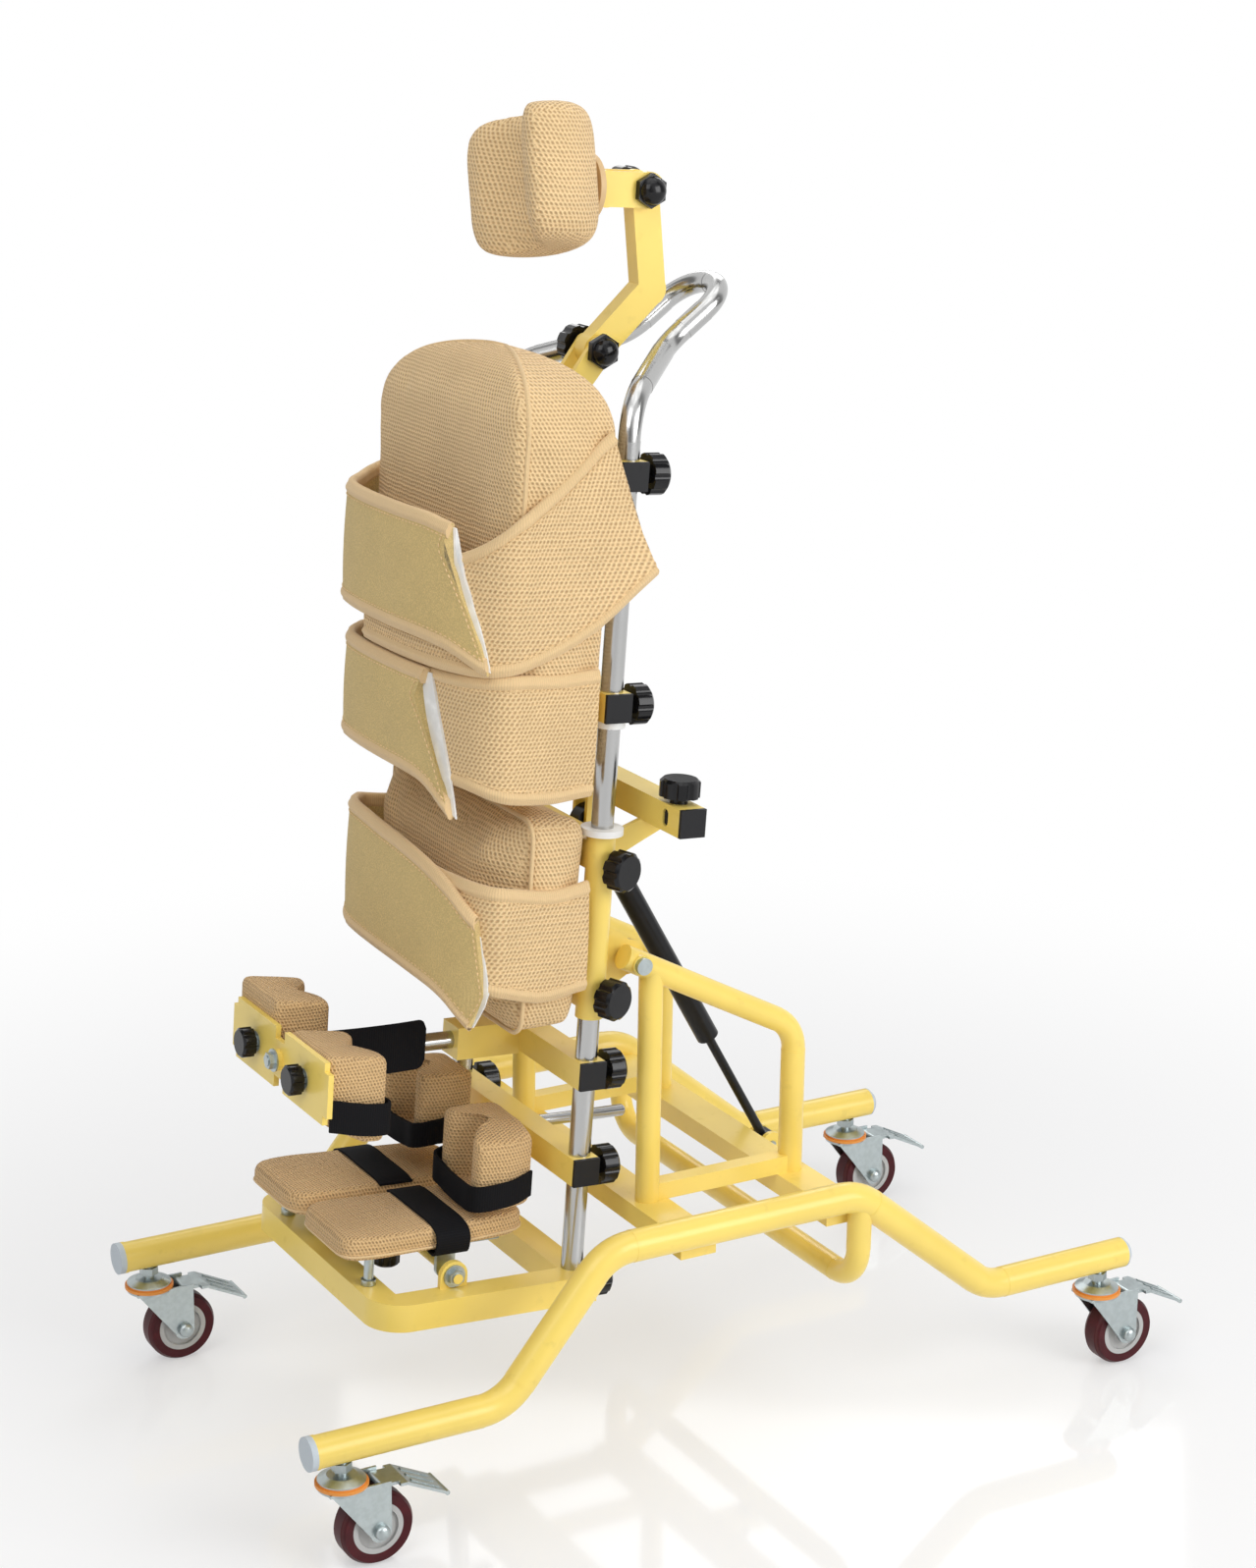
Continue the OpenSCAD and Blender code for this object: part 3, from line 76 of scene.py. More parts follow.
# Soft lamps: name, place, what they face, side in metres and power in watts
LAMPS = (
    ("key_light", (1.9, -2.6, 3.4), (0.0, 0.0, 0.6), 2.4, 50),
    ("fill_light", (3.2, 1.6, 1.9), (0.0, 0.0, 0.6), 2.2, 74),
    ("rear_light", (-2.6, 1.8, 2.8), (0.0, 0.0, 0.7), 2.0, 34),
    ("top_light", (0.2, 0.0, 3.6), (0.0, 0.0, 0.0), 2.6, 26),
)

# Floor: its half width, where it fades to plain white, both in metres, and its least share of plain white
FLOOR_REACH = 9.0
FLOOR_FADE = (0.5, 1.8)
FLOOR_LEAST = 0.45

SIDES = ((1, "left"), (-1, "right"))
CORNERS = ("fl", "fr", "rl", "rr")

# Pads and the boards behind them
PAD_FRONT = -233.0
PAD_REAR = -136.0
PAD_HALF = 151.5
BOARD_HALF = 102.4
BOARD_FRONT = -135.9
BOARD_REAR = -130.3
SCREW_X = 80

# Cloth run that swells a pad
CLOTH_PRESSURE = 4.0
CLOTH_STIFFNESS = 30
CLOTH_FRAMES = 20

# Points round each corner and along each side of a pad's outline, and the rings of its crown
CORNER_STEPS = 8
SIDE_STEPS = 6
CROWN_SHARES = (0.93, 0.8, 0.6, 0.35, 0.12)

# Share of a belt flap's run that lies along the pad's side, and the belt place where that side ends
SIDE_SHARE = 0.3
FAR_SIDE = 180.0

# How far a belt swells outwards, and how far its stitches stand off its face
BELT_BELLY = 1.6
STITCH_LIFT = 0.7

# Angles in degrees past which an edge shows
SOFT_EDGE = 70
BELT_EDGE = 60
STRAP_EDGE = 50
BOLT_EDGE = 30

# Feet, heels and knees
PLATE_LOW = 217.05
PLATE_T = 5.04
KNEE_Y = -381.4
KNEE_X = 57.1
KNEE_Z = 397.8
HEEL_Y = -157.1
HEEL_X = 65.5
CALF_Z = 297.2
HINGE = (-250.3, 203.05)
HINGE_END = 131.6
HINGE_R = 10
FOOT_CHEEKS = (10.7, 107.0)
FOOT_CHEEK_T = 5.6
FOOT_POST = (95.5, -325.4)
TOE_STRAP_Y = -248
TOE_STRAP_T = 2.6

# Plans of the soft blocks and routes of their straps on the left side, and the strap behind the knee plate
KNEE_PLAN = [(-46, 0), (46, 0), (47, 40), (43, 66), (26, 64), (6, 46), (-6, 46), (-26, 60), (-43, 60),
             (-46.5, 40)]
KNEE_ROUTE = [(51, 2, -20), (52, 40, -28), (47, 66, -31), (26, 68, -32), (4, 52, -30)]
KNEE_TAIL = [(11.0, 34, 2), (12.5, 74, 2), (14.0, 112, 3), (13.0, 146, 4)]
HEEL_PLAN = [(-42, 0), (44, 0), (54, -30), (50, -64), (30, -64), (14, -33), (0, -24), (-14, -33), (-24, -60),
             (-42, -60), (-46, -30)]
HEEL_ROUTE = [(48, -4, -16), (57, -30, -20), (52, -66, -24), (20, -68, -27), (-20, -66, -26), (-45, -63, -21),
              (-50, -30, -16), (-46, -4, -12)]
SOLE_PLAN = [(-30, -20), (30, -20), (26, -61), (-22, -57)]
FOOT_PLAN = [(5.5, -362), (112, -362), (118, -330), (116, -250), (104, -156), (30, -156), (8, -196)]
TOE_ROUTE = [(98, 4), (114, 3), (121, 11), (119.5, 26), (100, 32.2), (60, 32.4), (24, 32.2), (8, 30)]

# Cheeks on the back board, and the knobs on the head support's arms
CHEEK_IN = 10.2
CHEEK_T = 6.16
CHEEK_R = 14
HEAD_KNOBS = (("head_lower_knob", -88.33, 1091.29), ("head_upper_knob", -47.7, 1245.21))

# Where a solid changes its finish: mm on the tilting section and the wheel, metres on the legs and forks
BAR_CAP_X = 141.5
LIFT_CAP_X = 186.1
HIP_COLLAR_Z = 754.1
SLEEVE_COLLAR_Z = 641.2
HEAD_PLATE_Y = -102.5
LEG_MID_Y = -0.0336
LEG_CAP_AWAY = 0.4718
RING_Z = 0.0899
RING_HALF = 0.0023
TREAD_R = (25.6, 26.2)
BOSS_R = (10.4, 10.9)
# Radius in mm of the painted highlight ring round the tyre wall
HIGHLIGHT_RING_R = 36.4

# How much lighter the black caps and the strut are than the knobs
CAP_LIFT = 1.6


def size(name, description, value):
    """A length property, with its default given in mm."""
    return bpy.props.FloatProperty(
        name=name, description=description, unit="LENGTH", precision=4, default=value * MM
    )


class FrameSizes(bpy.types.PropertyGroup):
    """Sizes of the soft goods."""

    belt_t: size("Belt thickness", "Foam belt with its cover", 8.5)
    hem_w: size("Hem width", "Binding along a belt's edges", 6.5)
    stitch_pitch: size("Stitch pitch", "Spacing of stitches", 6.0)
    knit_u: size("Knit width", "Spacing of mesh holes in a row", 4.3)
    knit_v: size("Knit rise", "Spacing of mesh rows", 3.9)
    puff: size("Puff", "Most that a cover may swell", 5.0)
    strap_t: size("Strap thickness", "Knee and heel straps", 3.0)
    knee_strap_w: size("Knee strap width", "Straps round the knee pads", 32.0)
    knee_tail_w: size("Knee tail width", "Strap behind the knee plate", 50.0)
    heel_strap_w: size("Heel strap width", "Straps round the heel cups", 26.0)
    toe_strap_w: size("Toe strap width", "Straps over the foot pads", 36.0)


def colour(name, description, value):
    """A colour property in linear light."""
    return bpy.props.FloatVectorProperty(
        name=name, description=description, subtype="COLOR", size=3, min=0, max=1, default=value
    )


class FrameColours(bpy.types.PropertyGroup):
    """Colours of the finishes."""

    yellow: colour("Yellow", "Powder coat", (0.93, 0.70, 0.16))
    cloth: colour("Cloth", "Knitted air mesh", (0.87, 0.62, 0.335))
    grain: colour("Grain", "Pebbled cover of knees, heels and feet", (0.76, 0.515, 0.255))
    hole: colour("Mesh hole", "Shadow in the mesh holes", (0.44, 0.245, 0.10))
    binding: colour("Binding", "Edge binding of pads and belts", (0.74, 0.53, 0.28))
    velour: colour("Velour", "Smooth outer face of the flaps", (0.62, 0.465, 0.20))
    black: colour("Black", "Knobs, caps and straps", (0.005, 0.005, 0.006))
    chrome: colour("Chrome", "Plated tubes", (0.50, 0.50, 0.495))
    zinc: colour("Zinc", "Casters and bolts", (0.43, 0.48, 0.485))
    tyre: colour("Tyre", "Caster tread", (0.058, 0.007, 0.010))
    hub: colour("Hub", "Caster hub", (0.50, 0.50, 0.49))
    ring: colour("Ring", "Swivel dust ring", (0.80, 0.30, 0.05))
    collar: colour("Collar", "White plastic collars and hook tape", (0.80, 0.80, 0.78))
    cap: colour("Cap", "Grey end caps of the legs", (0.54, 0.60, 0.65))


def measure(name):
    """One of the scene's sizes, in mm."""
    return round(getattr(bpy.context.scene.standing_sizes, name) / MM, 4)


def colours():
    """The scene's colours."""
    return bpy.context.scene.standing_colours


class Wire:
    """A shader socket that takes part in sums."""

    def __init__(self, paint, socket):
        self.paint = paint
        self.socket = socket

    def math(self, operation, other=None, swapped=False):
        pair = [self] if other is None else [self, other]
        if swapped:
            pair.reverse()
        return self.paint.node("ShaderNodeMath", {"operation": operation}, dict(enumerate(pair)))

    def __add__(self, other):
        return self.math("ADD", other)

    def __sub__(self, other):
        return self.math("SUBTRACT", other)

    def __rsub__(self, other):
        return self.math("SUBTRACT", other, True)

    def __mul__(self, other):
        return self.math("MULTIPLY", other)

    def __truediv__(self, other):
        return self.math("DIVIDE", other)

    def __gt__(self, other):
        return self.math("GREATER_THAN", other)

    def __lt__(self, other):
        return self.math("LESS_THAN", other)

    __radd__ = __add__
    __rmul__ = __mul__

    def step(self, low, high):
        """0 at low and 1 at high, with a smooth run between."""
        sockets = {"Value": self, "From Min": low, "From Max": high}
        return self.paint.node("ShaderNodeMapRange", {"interpolation_type": "SMOOTHSTEP"}, sockets)


class Paint:
    """One material or world, its node tree and its main shader."""

    def __init__(self, name, world=False):
        self.material = (bpy.data.worlds if world else bpy.data.materials).new(name)
        self.material.use_nodes = True
        self.tree = self.material.node_tree
        self.shader = self.tree.nodes["Background" if world else "Principled BSDF"]

    def node(self, kind, settings=None, sockets=None, out=0):
        """A node of that kind with its settings and sockets; returns one of its outputs."""
        made = self.tree.nodes.new(kind)
        for key, value in (settings or {}).items():
            setattr(made, key, value)
        for key, value in (sockets or {}).items():
            self.feed(made.inputs[key], value)
        return Wire(self, made.outputs[out])

    def feed(self, socket, value):
        """Links a wire to a socket, or sets the socket's value."""
        if isinstance(value, Wire):
            self.tree.links.new(value.socket, socket)
        else:
            socket.default_value = value

    def place(self):
        """Object coordinates in metres."""
        return self.node("ShaderNodeTexCoord", out="Object")

    def axes(self, vector):
        """The x, y and z of a vector."""
        split = self.node("ShaderNodeSeparateXYZ", {}, {0: vector}).socket.node
        return [Wire(self, split.outputs[i]) for i in range(3)]

    def noise(self, vector, scale, detail):
        """Soft noise from 0 to 1."""
        return self.node("ShaderNodeTexNoise", {}, {"Vector": vector, "Scale": scale, "Detail": detail})

    def mix(self, factor, first, second):
        """A colour between two."""
        sockets = {0: factor, 6: self.rgba(first), 7: self.rgba(second)}
        return self.node("ShaderNodeMix", {"data_type": "RGBA"}, sockets, 2)

    def rgba(self, value):
        return value if isinstance(value, Wire) else (*value, 1.0)

    def bump(self, height, strength, distance):
        """A normal from a height."""
        return self.node("ShaderNodeBump", {}, {"Strength": strength, "Distance": distance, "Height": height})

    def coat(self, **inputs):
        """Feeds the main shader by socket name, with underscores for blanks, and returns the material."""
        for key, value in inputs.items():
            name = key.replace("_", " ").title().replace("Ior", "IOR")
            self.feed(self.shader.inputs[name], self.rgba(value) if name == "Base Color" else value)
        return self.material


def shade(base, factor):
    """A colour made lighter or darker."""
    return tuple(min(1.0, channel * factor) for channel in base)


MADE = {}


def finish(name, recipe, *values):
    """A material by name, made once."""
    if name not in MADE:
        MADE[name] = recipe(Paint(name), *values)
    return MADE[name]


def leaned_z(paint):
    """Height along the tilting section at rest, in mm."""
    y, z = paint.axes(paint.place())[1:]
    along = (y - PIVOT.y) * math.sin(REST_LEAN) + (z - PIVOT.z) * math.cos(REST_LEAN)
    return along / MM + PIVOT_Z


def leaned_y(paint):
    """Depth across the tilting section at rest, in mm."""
    y, z = paint.axes(paint.place())[1:]
    across = (y - PIVOT.y) * math.cos(REST_LEAN) - (z - PIVOT.z) * math.sin(REST_LEAN)
    return across / MM + PIVOT_Y


def powder(paint, *masked):
    """Yellow powder coat with a fine orange peel and faint handling marks.

    Pairs of a mask and a colour show other finishes on the same solid.
    """
    place = paint.place()
    cloud = paint.noise(place, 7.0, 3.0)
    peel = paint.noise(place, 900.0, 1.0)
    marks = paint.noise(place, 60.0, 6.0).step(0.60, 0.72)
    yellow = colours().yellow
    base = paint.mix(cloud.step(0.3, 0.7), shade(yellow, 0.94), shade(yellow, 1.05))
    base = paint.mix(marks * 0.16, base, shade(yellow, 0.62))
    rough = marks * 0.12 + cloud * 0.06 + 0.30
    gloss = cloud * 0.1 + 0.2
    for mask, other in zip(masked[::2], masked[1::2]):
        held = mask(paint)
        base = paint.mix(held, base, other)
        rough = rough + held * 0.15
        gloss = gloss * (1.0 - held)
    return paint.coat(base_color=base, roughness=rough, coat_weight=gloss, coat_roughness=0.15,
                      specular_ior_level=0.3, normal=paint.bump(peel, 0.10, 0.0004))


def bar_cap_mask(limit):
    """A mask past a distance from the middle plane, in mm."""
    return lambda paint: paint.axes(paint.place())[0].math("ABSOLUTE") > limit * MM


def chrome(paint):
    """Bright plated tube with fine draw lines and a little haze."""
    place = paint.place()
    haze = paint.noise(place, 14.0, 4.0)
    fine = paint.noise(place, 500.0, 2.0)
    base = paint.mix(haze.step(0.35, 0.75), shade(colours().chrome, 0.96), colours().chrome)
    return paint.coat(base_color=base, metallic=1.0, roughness=haze * 0.07 + fine * 0.03 + 0.17)


def zinc(paint, mask=None, other=None):
    """Zinc plate: mottled grey with a soft sheen; a mask shows another colour as plastic."""
    place = paint.place()
    spangle = paint.noise(place, 160.0, 3.0)
    cloud = paint.noise(place, 30.0, 4.0)
    base = paint.mix(spangle.step(0.35, 0.65), shade(colours().zinc, 0.95), shade(colours().zinc, 1.06))
    base = paint.mix(cloud.step(0.55, 0.8) * 0.15, base, (0.40, 0.42, 0.36))
    metal = 1.0
    rough = spangle * 0.14 + cloud * 0.12 + 0.22
    if mask:
        held = mask(paint)
        base = paint.mix(held, base, other)
        metal = 1.0 - held
        rough = rough + held * 0.1
    return paint.coat(base_color=base, metallic=metal, roughness=rough,
                      normal=paint.bump(spangle, 0.08, 0.0003))


def plastic(paint, base, rough, grain, shine=0.5):
    """Moulded plastic: a base colour, its roughness, the scale of its grain and how much it shines."""
    place = paint.place()
    cloud = paint.noise(place, 40.0, 3.0)
    fine = paint.noise(place, grain, 2.0)
    lifted = tuple(channel * 1.35 + 0.003 for channel in base)
    cover = paint.mix(cloud.step(0.45, 0.8), base, lifted)
    return paint.coat(base_color=cover, roughness=cloud * 0.08 + rough, specular_ior_level=shine,
                      normal=paint.bump(fine, 0.08, 0.0003))


def tyre(paint, axle_y, axle_z):
    """Dark red tread round a grey hub, told apart by the distance from the axle, with a painted highlight
    ring on the tread's wall.
    """
    y, z = paint.axes(paint.place())[1:]
    away_y = (y - axle_y) / MM
    away_z = (z - axle_z) / MM
    radius = (away_y * away_y + away_z * away_z).math("SQRT")
    tread = radius.step(*TREAD_R)
    boss = 1.0 - radius.step(*BOSS_R)
    dirt = paint.noise(paint.place(), 70.0, 5.0)
    hub = paint.mix(boss, colours().hub, shade(colours().hub, 0.72))
    red = paint.mix(dirt.step(0.4, 0.75), colours().tyre, shade(colours().tyre, 1.35))
    # Painted highlight: a lighter ring round the tyre wall
    ring = 1.0 - (radius - HIGHLIGHT_RING_R).math("ABSOLUTE").step(0.0, 1.3)
    red = paint.mix(ring * 0.5, red, (0.10, 0.035, 0.035))
    return paint.coat(base_color=paint.mix(tread, hub, red), roughness=dirt * 0.15 + tread * 0.05 + 0.30,
                      specular_ior_level=0.2)


def weave_uv(paint):
    """The piece's own pattern map as two values in mm, and the map itself in metres."""
    uv = paint.node("ShaderNodeUVMap", {"uv_map": "weave"}, out="UV")
    u, v = paint.axes(uv)[:2]
    return u / MM, v / MM, uv


def knit(paint, base, hole, deep, scale=1.0):
    """Spacer mesh: staggered oval holes between raised slanting loops, with a worn, uneven colour, a painted
    highlight on the loops and painted shade in the holes.
    """
    u, v, uv = weave_uv(paint)
    place = paint.place()
    wander = (paint.noise(uv, 90.0, 2.0) - 0.5) * 0.7
    row = v / (measure("knit_v") * scale) + wander
    along = u / (measure("knit_u") * scale) + row.math("FLOOR") * 0.5
    du = along.math("FRACT") - 0.5
    dv = row.math("FRACT") - 0.5
    oval = (du * du + dv * dv * 0.9 + du * dv * 0.7).math("SQRT")
    open_hole = 1.0 - oval.step(0.06, 0.50)
    twist = (along * math.tau + row * 3.1).math("SINE") * 0.5 + 0.5
    cloud = paint.noise(place, 16.0, 4.0)
    fuzz = paint.noise(place, 1100.0, 3.0)
    cover = paint.mix(cloud.step(0.3, 0.7), shade(base, 0.95), shade(base, 1.05))
    # Painted highlight on the raised loops
    cover = paint.mix(twist * 0.45, cover, shade(base, 1.25))
    # Painted shade in the mesh holes
    cover = paint.mix(open_hole * deep, cover, hole)
    cover = paint.mix(fuzz.step(0.5, 0.8) * 0.25, cover, shade(base, 0.66))
    height = twist * 0.45 + fuzz * 0.25 - open_hole
    return paint.coat(base_color=cover, roughness=0.88, normal=paint.bump(height, 0.9, 0.0012),
                      specular_ior_level=0.25, sheen_weight=0.15, sheen_roughness=0.5)


def velour(paint, base):
    """Brushed loop face of the flaps: fine ribs under a short nap."""
    u, v = weave_uv(paint)[:2]
    place = paint.place()
    rib = ((u + v * 0.35) * (math.tau / 3.2)).math("SINE") * 0.5 + 0.5
    nap = paint.noise(place, 700.0, 3.0)
    cloud = paint.noise(place, 22.0, 4.0)
    cover = paint.mix(cloud.step(0.3, 0.7), shade(base, 0.97), shade(base, 1.03))
    cover = paint.mix(rib * 0.2, cover, shade(base, 0.74))
    cover = paint.mix(nap.step(0.4, 0.7) * 0.6, cover, shade(base, 1.4))
    return paint.coat(base_color=cover, roughness=0.9, normal=paint.bump(rib * 0.4 + nap * 0.8, 0.7, 0.0008),
                      specular_ior_level=0.2, sheen_weight=0.15, sheen_roughness=0.45)


def binding(paint, base):
    """Ribbed tape that binds an edge."""
    u = weave_uv(paint)[0]
    rib = (u * (math.tau / 2.2)).math("SINE") * 0.5 + 0.5
    nap = paint.noise(paint.place(), 600.0, 3.0)
    cover = paint.mix(rib * 0.3, shade(base, 1.05), shade(base, 0.7))
    cover = paint.mix(nap.step(0.45, 0.75) * 0.25, cover, shade(base, 1.25))
    return paint.coat(base_color=cover, roughness=0.85, normal=paint.bump(rib + nap * 0.5, 0.5, 0.0005),
                      sheen_weight=0.2)


def webbing(paint, base):
    """Black strap: neoprene-backed loop fabric with fine ribs."""
    u = weave_uv(paint)[0]
    rib = (u * (math.tau / 2.4)).math("SINE") * 0.5 + 0.5
    nap = paint.noise(paint.place(), 900.0, 3.0)
    cloud = paint.noise(paint.place(), 25.0, 3.0)
    cover = paint.mix(rib * 0.5 + cloud * 0.3, base, (0.010, 0.010, 0.012))
    cover = paint.mix(nap.step(0.6, 0.8) * 0.2, cover, (0.03, 0.03, 0.033))
    return paint.coat(base_color=cover, roughness=0.8, normal=paint.bump(rib * 0.6 + nap * 0.5, 0.45, 0.0005),
                      specular_ior_level=0.12)


def thread(paint, base):
    """Sewing thread: a tight twist."""
    fine = paint.noise(paint.place(), 1500.0, 2.0)
    cover = paint.mix(fine.step(0.35, 0.7), shade(base, 0.8), shade(base, 1.15))
    return paint.coat(base_color=cover, roughness=0.7, normal=paint.bump(fine, 0.3, 0.0003))


def shared(name):
    """One of the finishes that several pieces share."""
    tint = colours()
    recipes = {
        "powder_yellow": (powder,),
        "chrome_tube": (chrome,),
        "zinc_plate": (zinc,),
        "knob_black": (plastic, tint.black, 0.12, 300.0, 0.3),
        "cap_black": (plastic, shade(tint.black, CAP_LIFT), 0.35, 800.0, 0.25),
        "strut_black": (plastic, shade(tint.black, CAP_LIFT), 0.25, 600.0, 0.25),
        "hook_tape": (plastic, tint.collar, 0.7, 900.0),
        "mesh_cloth": (knit, tint.cloth, tint.hole, 0.75),
        "mesh_cloth_fine": (knit, tint.grain, shade(tint.hole, 0.8), 0.8, 0.85),
        "velour_cloth": (velour, tint.velour),
        "edge_binding": (binding, tint.binding),
        "strap_webbing": (webbing, tint.black),
        "sewing_thread": (thread, shade(tint.binding, 1.2)),
    }
    return finish(name, *recipes[name])


def lean(points):
    """Upright places in mm to the leaned section's places in metres."""
    p = np.asarray(points, float)
    y = (p[:, 1] - PIVOT_Y) * MM
    z = (p[:, 2] - PIVOT_Z) * MM
    c = math.cos(REST_LEAN)
    s = math.sin(REST_LEAN)
    return np.column_stack([p[:, 0] * MM, PIVOT.y + y * c + z * s, PIVOT.z - y * s + z * c])


def unlean(points):
    """Leaned places in metres back to upright places in mm."""
    p = np.asarray(points, float)
    y = p[:, 1] - PIVOT.y
    z = p[:, 2] - PIVOT.z
    c = math.cos(REST_LEAN)
    s = math.sin(REST_LEAN)
    return np.column_stack([p[:, 0] / MM, PIVOT_Y + (y * c - z * s) / MM, PIVOT_Z + (y * s + z * c) / MM])


def map_weave(mesh, flat=None, rise=None):
    """Writes the pattern map: each vertex's own flat place in mm, or else its place seen along its main axis.

    A rise table of (height, run) keeps the rows level up a dome, seen from its front or its side alone.
    """
    layer = mesh.uv_layers.get("weave") or mesh.uv_layers.new(name="weave")
    if flat is not None:
        for loop in mesh.loops:
            layer.data[loop.index].uv = (flat[loop.vertex_index][0] * MM, flat[loop.vertex_index][1] * MM)
        return
    places = unlean([v.co for v in mesh.vertices])
    normals = np.abs(np.array([p.normal for p in mesh.polygons]))
    main = normals[:, :2 if rise else 3].argmax(1)
    if rise:
        heights, runs = zip(*rise)
        places[:, 2] = np.interp(places[:, 2], heights, runs)
    pick = {0: (1, 2), 1: (0, 2), 2: (0, 1)}
    for poly, axis in zip(mesh.polygons, main):
        for loop in poly.loop_indices:
            place = places[mesh.loops[loop].vertex_index]
            layer.data[loop].uv = (place[pick[axis][0]] * MM, place[pick[axis][1]] * MM)


def plain(name, verts, faces):
    """An object from upright places in mm, with its faces turned outwards."""
    mesh = bpy.data.meshes.new(name)
    mesh.from_pydata(lean(verts).tolist(), [], [tuple(int(i) for i in face) for face in faces])
    tidy = bmesh.new()
    tidy.from_mesh(mesh)
    bmesh.ops.recalc_face_normals(tidy, faces=tidy.faces)
    tidy.to_mesh(mesh)
    tidy.free()
    made = bpy.data.objects.new(name, mesh)
    bpy.context.scene.collection.objects.link(made)
    return made


def settle(made, look, body, nodes=(), flat=None, sharp=40, rise=None):
    """Shades a piece, maps its pattern, sets its finish and body, and hides the nodes it stands for."""
    mesh = made.data
    mesh.materials.clear()
    mesh.materials.append(shared(look))
    mesh.shade_smooth()
    mesh.set_sharp_from_angle(angle=math.radians(sharp))
    map_weave(mesh, flat, rise)
    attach(made, body)
    if nodes:
        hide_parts(*nodes)


def join(parts):
    """Several (vertices, faces) shapes as one."""
    verts = []
    faces = []
    for points, loops in parts:
        start = len(verts)
        verts += [tuple(p) for p in points]
        faces += [[start + i for i in loop] for loop in loops]
    return verts, faces


def loft(rings, capped=True):
    """Faces over closed rings of equal count; capped fills the two ends."""
    count = len(rings[0])
    verts = [tuple(p) for ring in rings for p in ring]
    faces = []
    for i in range(len(rings) - 1):
        for k in range(count):
            a = i * count + k
            b = i * count + (k + 1) % count
            faces.append([a, b, b + count, a + count])
    if capped:
        faces.append(list(range(count))[::-1])
        faces.append(list(range(len(verts) - count, len(verts))))
    return verts, faces


def box(x0, x1, y0, y1, z0, z1, edge):
    """A plate or block with softened edges."""
    def ring(x, inset):
        low_y, high_y, low_z, high_z = y0 + inset, y1 - inset, z0 + inset, z1 - inset
        e = edge
        return [(x, low_y + e, low_z), (x, high_y - e, low_z), (x, high_y, low_z + e),
                (x, high_y, high_z - e), (x, high_y - e, high_z), (x, low_y + e, high_z),
                (x, low_y, high_z - e), (x, low_y, low_z + e)]
    return loft([ring(x0, edge), ring(x0 + edge, 0), ring(x1 - edge, 0), ring(x1, edge)])


def turned(axis, centre, profile, sides):
    """A body of revolution: profile points are (distance along the axis, radius)."""
    other = [i for i in range(3) if i != axis]
    rings = []
    for along, radius in profile:
        ring = []
        for k in range(sides):
            angle = 2 * math.pi * k / sides
            p = [0.0, 0.0, 0.0]
            p[axis] = centre[axis] + along
            p[other[0]] = centre[other[0]] + radius * math.cos(angle)
            p[other[1]] = centre[other[1]] + radius * math.sin(angle)
            ring.append(p)
        rings.append(ring)
    return loft(rings)


def tube(path, radius, sides, closed=False):
    """A round cord shape along a path."""
    p = np.asarray(path, float)
    step = np.roll(p, -1, 0) - np.roll(p, 1, 0) if closed else np.gradient(p, axis=0)
    step /= np.linalg.norm(step, axis=1)[:, None]
    side = np.cross(step[0], [0.0, 0.0, 1.0])
    if np.linalg.norm(side) < 0.1:
        side = np.cross(step[0], [1.0, 0.0, 0.0])
    rings = []
    for place, ahead in zip(p, step):
        side = side - ahead * side.dot(ahead)
        side /= np.linalg.norm(side)
        up = np.cross(ahead, side)
        turns = [2 * math.pi * k / sides for k in range(sides)]
        rings.append([place + radius * (side * math.cos(t) + up * math.sin(t)) for t in turns])
    if not closed:
        return loft(rings)
    ends = np.array(rings[-1])
    first = np.array(rings[0])
    turn = int(np.argmin(np.linalg.norm(ends - first[0], axis=1)))
    rings.append([first[(k - turn) % sides] for k in range(sides)])
    return loft(rings, capped=False)


def puffed(made, cap, voxel=5.0):
    """Swells a closed pad by a short cloth run under pressure, no point past the cap, and smooths it."""
    remesh = made.modifiers.new("Remesh", "REMESH")
    remesh.mode = "VOXEL"
    remesh.voxel_size = voxel * MM
    apply_modifiers(made)
    start = np.array([v.co for v in made.data.vertices])
    cloth = made.modifiers.new("Cloth", "CLOTH")
    cloth.settings.quality = 4
    cloth.settings.use_pressure = True
    cloth.settings.uniform_pressure_force = CLOTH_PRESSURE
    cloth.settings.tension_stiffness = CLOTH_STIFFNESS
    cloth.settings.compression_stiffness = CLOTH_STIFFNESS
    cloth.settings.effector_weights.gravity = 0
    cloth.collision_settings.use_collision = False
    cloth.point_cache.frame_start = 1
    cloth.point_cache.frame_end = CLOTH_FRAMES
    scene = bpy.context.scene
    for step in range(1, CLOTH_FRAMES + 1):
        scene.frame_set(step)
    moved = evaluated(made)
    made.modifiers.clear()
    scene.frame_set(1)
    end = np.array([v.co for v in moved.vertices])
    shift = end - start
    length = np.linalg.norm(shift, axis=1)
    scale = np.minimum(1.0, cap * MM / np.maximum(length, 1e-9))
    for vertex, place in zip(made.data.vertices, start + shift * scale[:, None]):
        vertex.co = place
    smooth = made.modifiers.new("Smooth", "SMOOTH")
    smooth.factor = 0.5
    smooth.iterations = 3
    grown = made.modifiers.new("Subdivision", "SUBSURF")
    grown.levels = 1
    grown.render_levels = 1
    apply_modifiers(made)


def evaluated(made):
    """A plain mesh of the object with its modifiers."""
    graph = bpy.context.evaluated_depsgraph_get()
    graph.update()
    return bpy.data.meshes.new_from_object(made.evaluated_get(graph))


def apply_modifiers(made):
    """Bakes the modifiers into the mesh."""
    mesh = evaluated(made)
    made.modifiers.clear()
    made.data = mesh


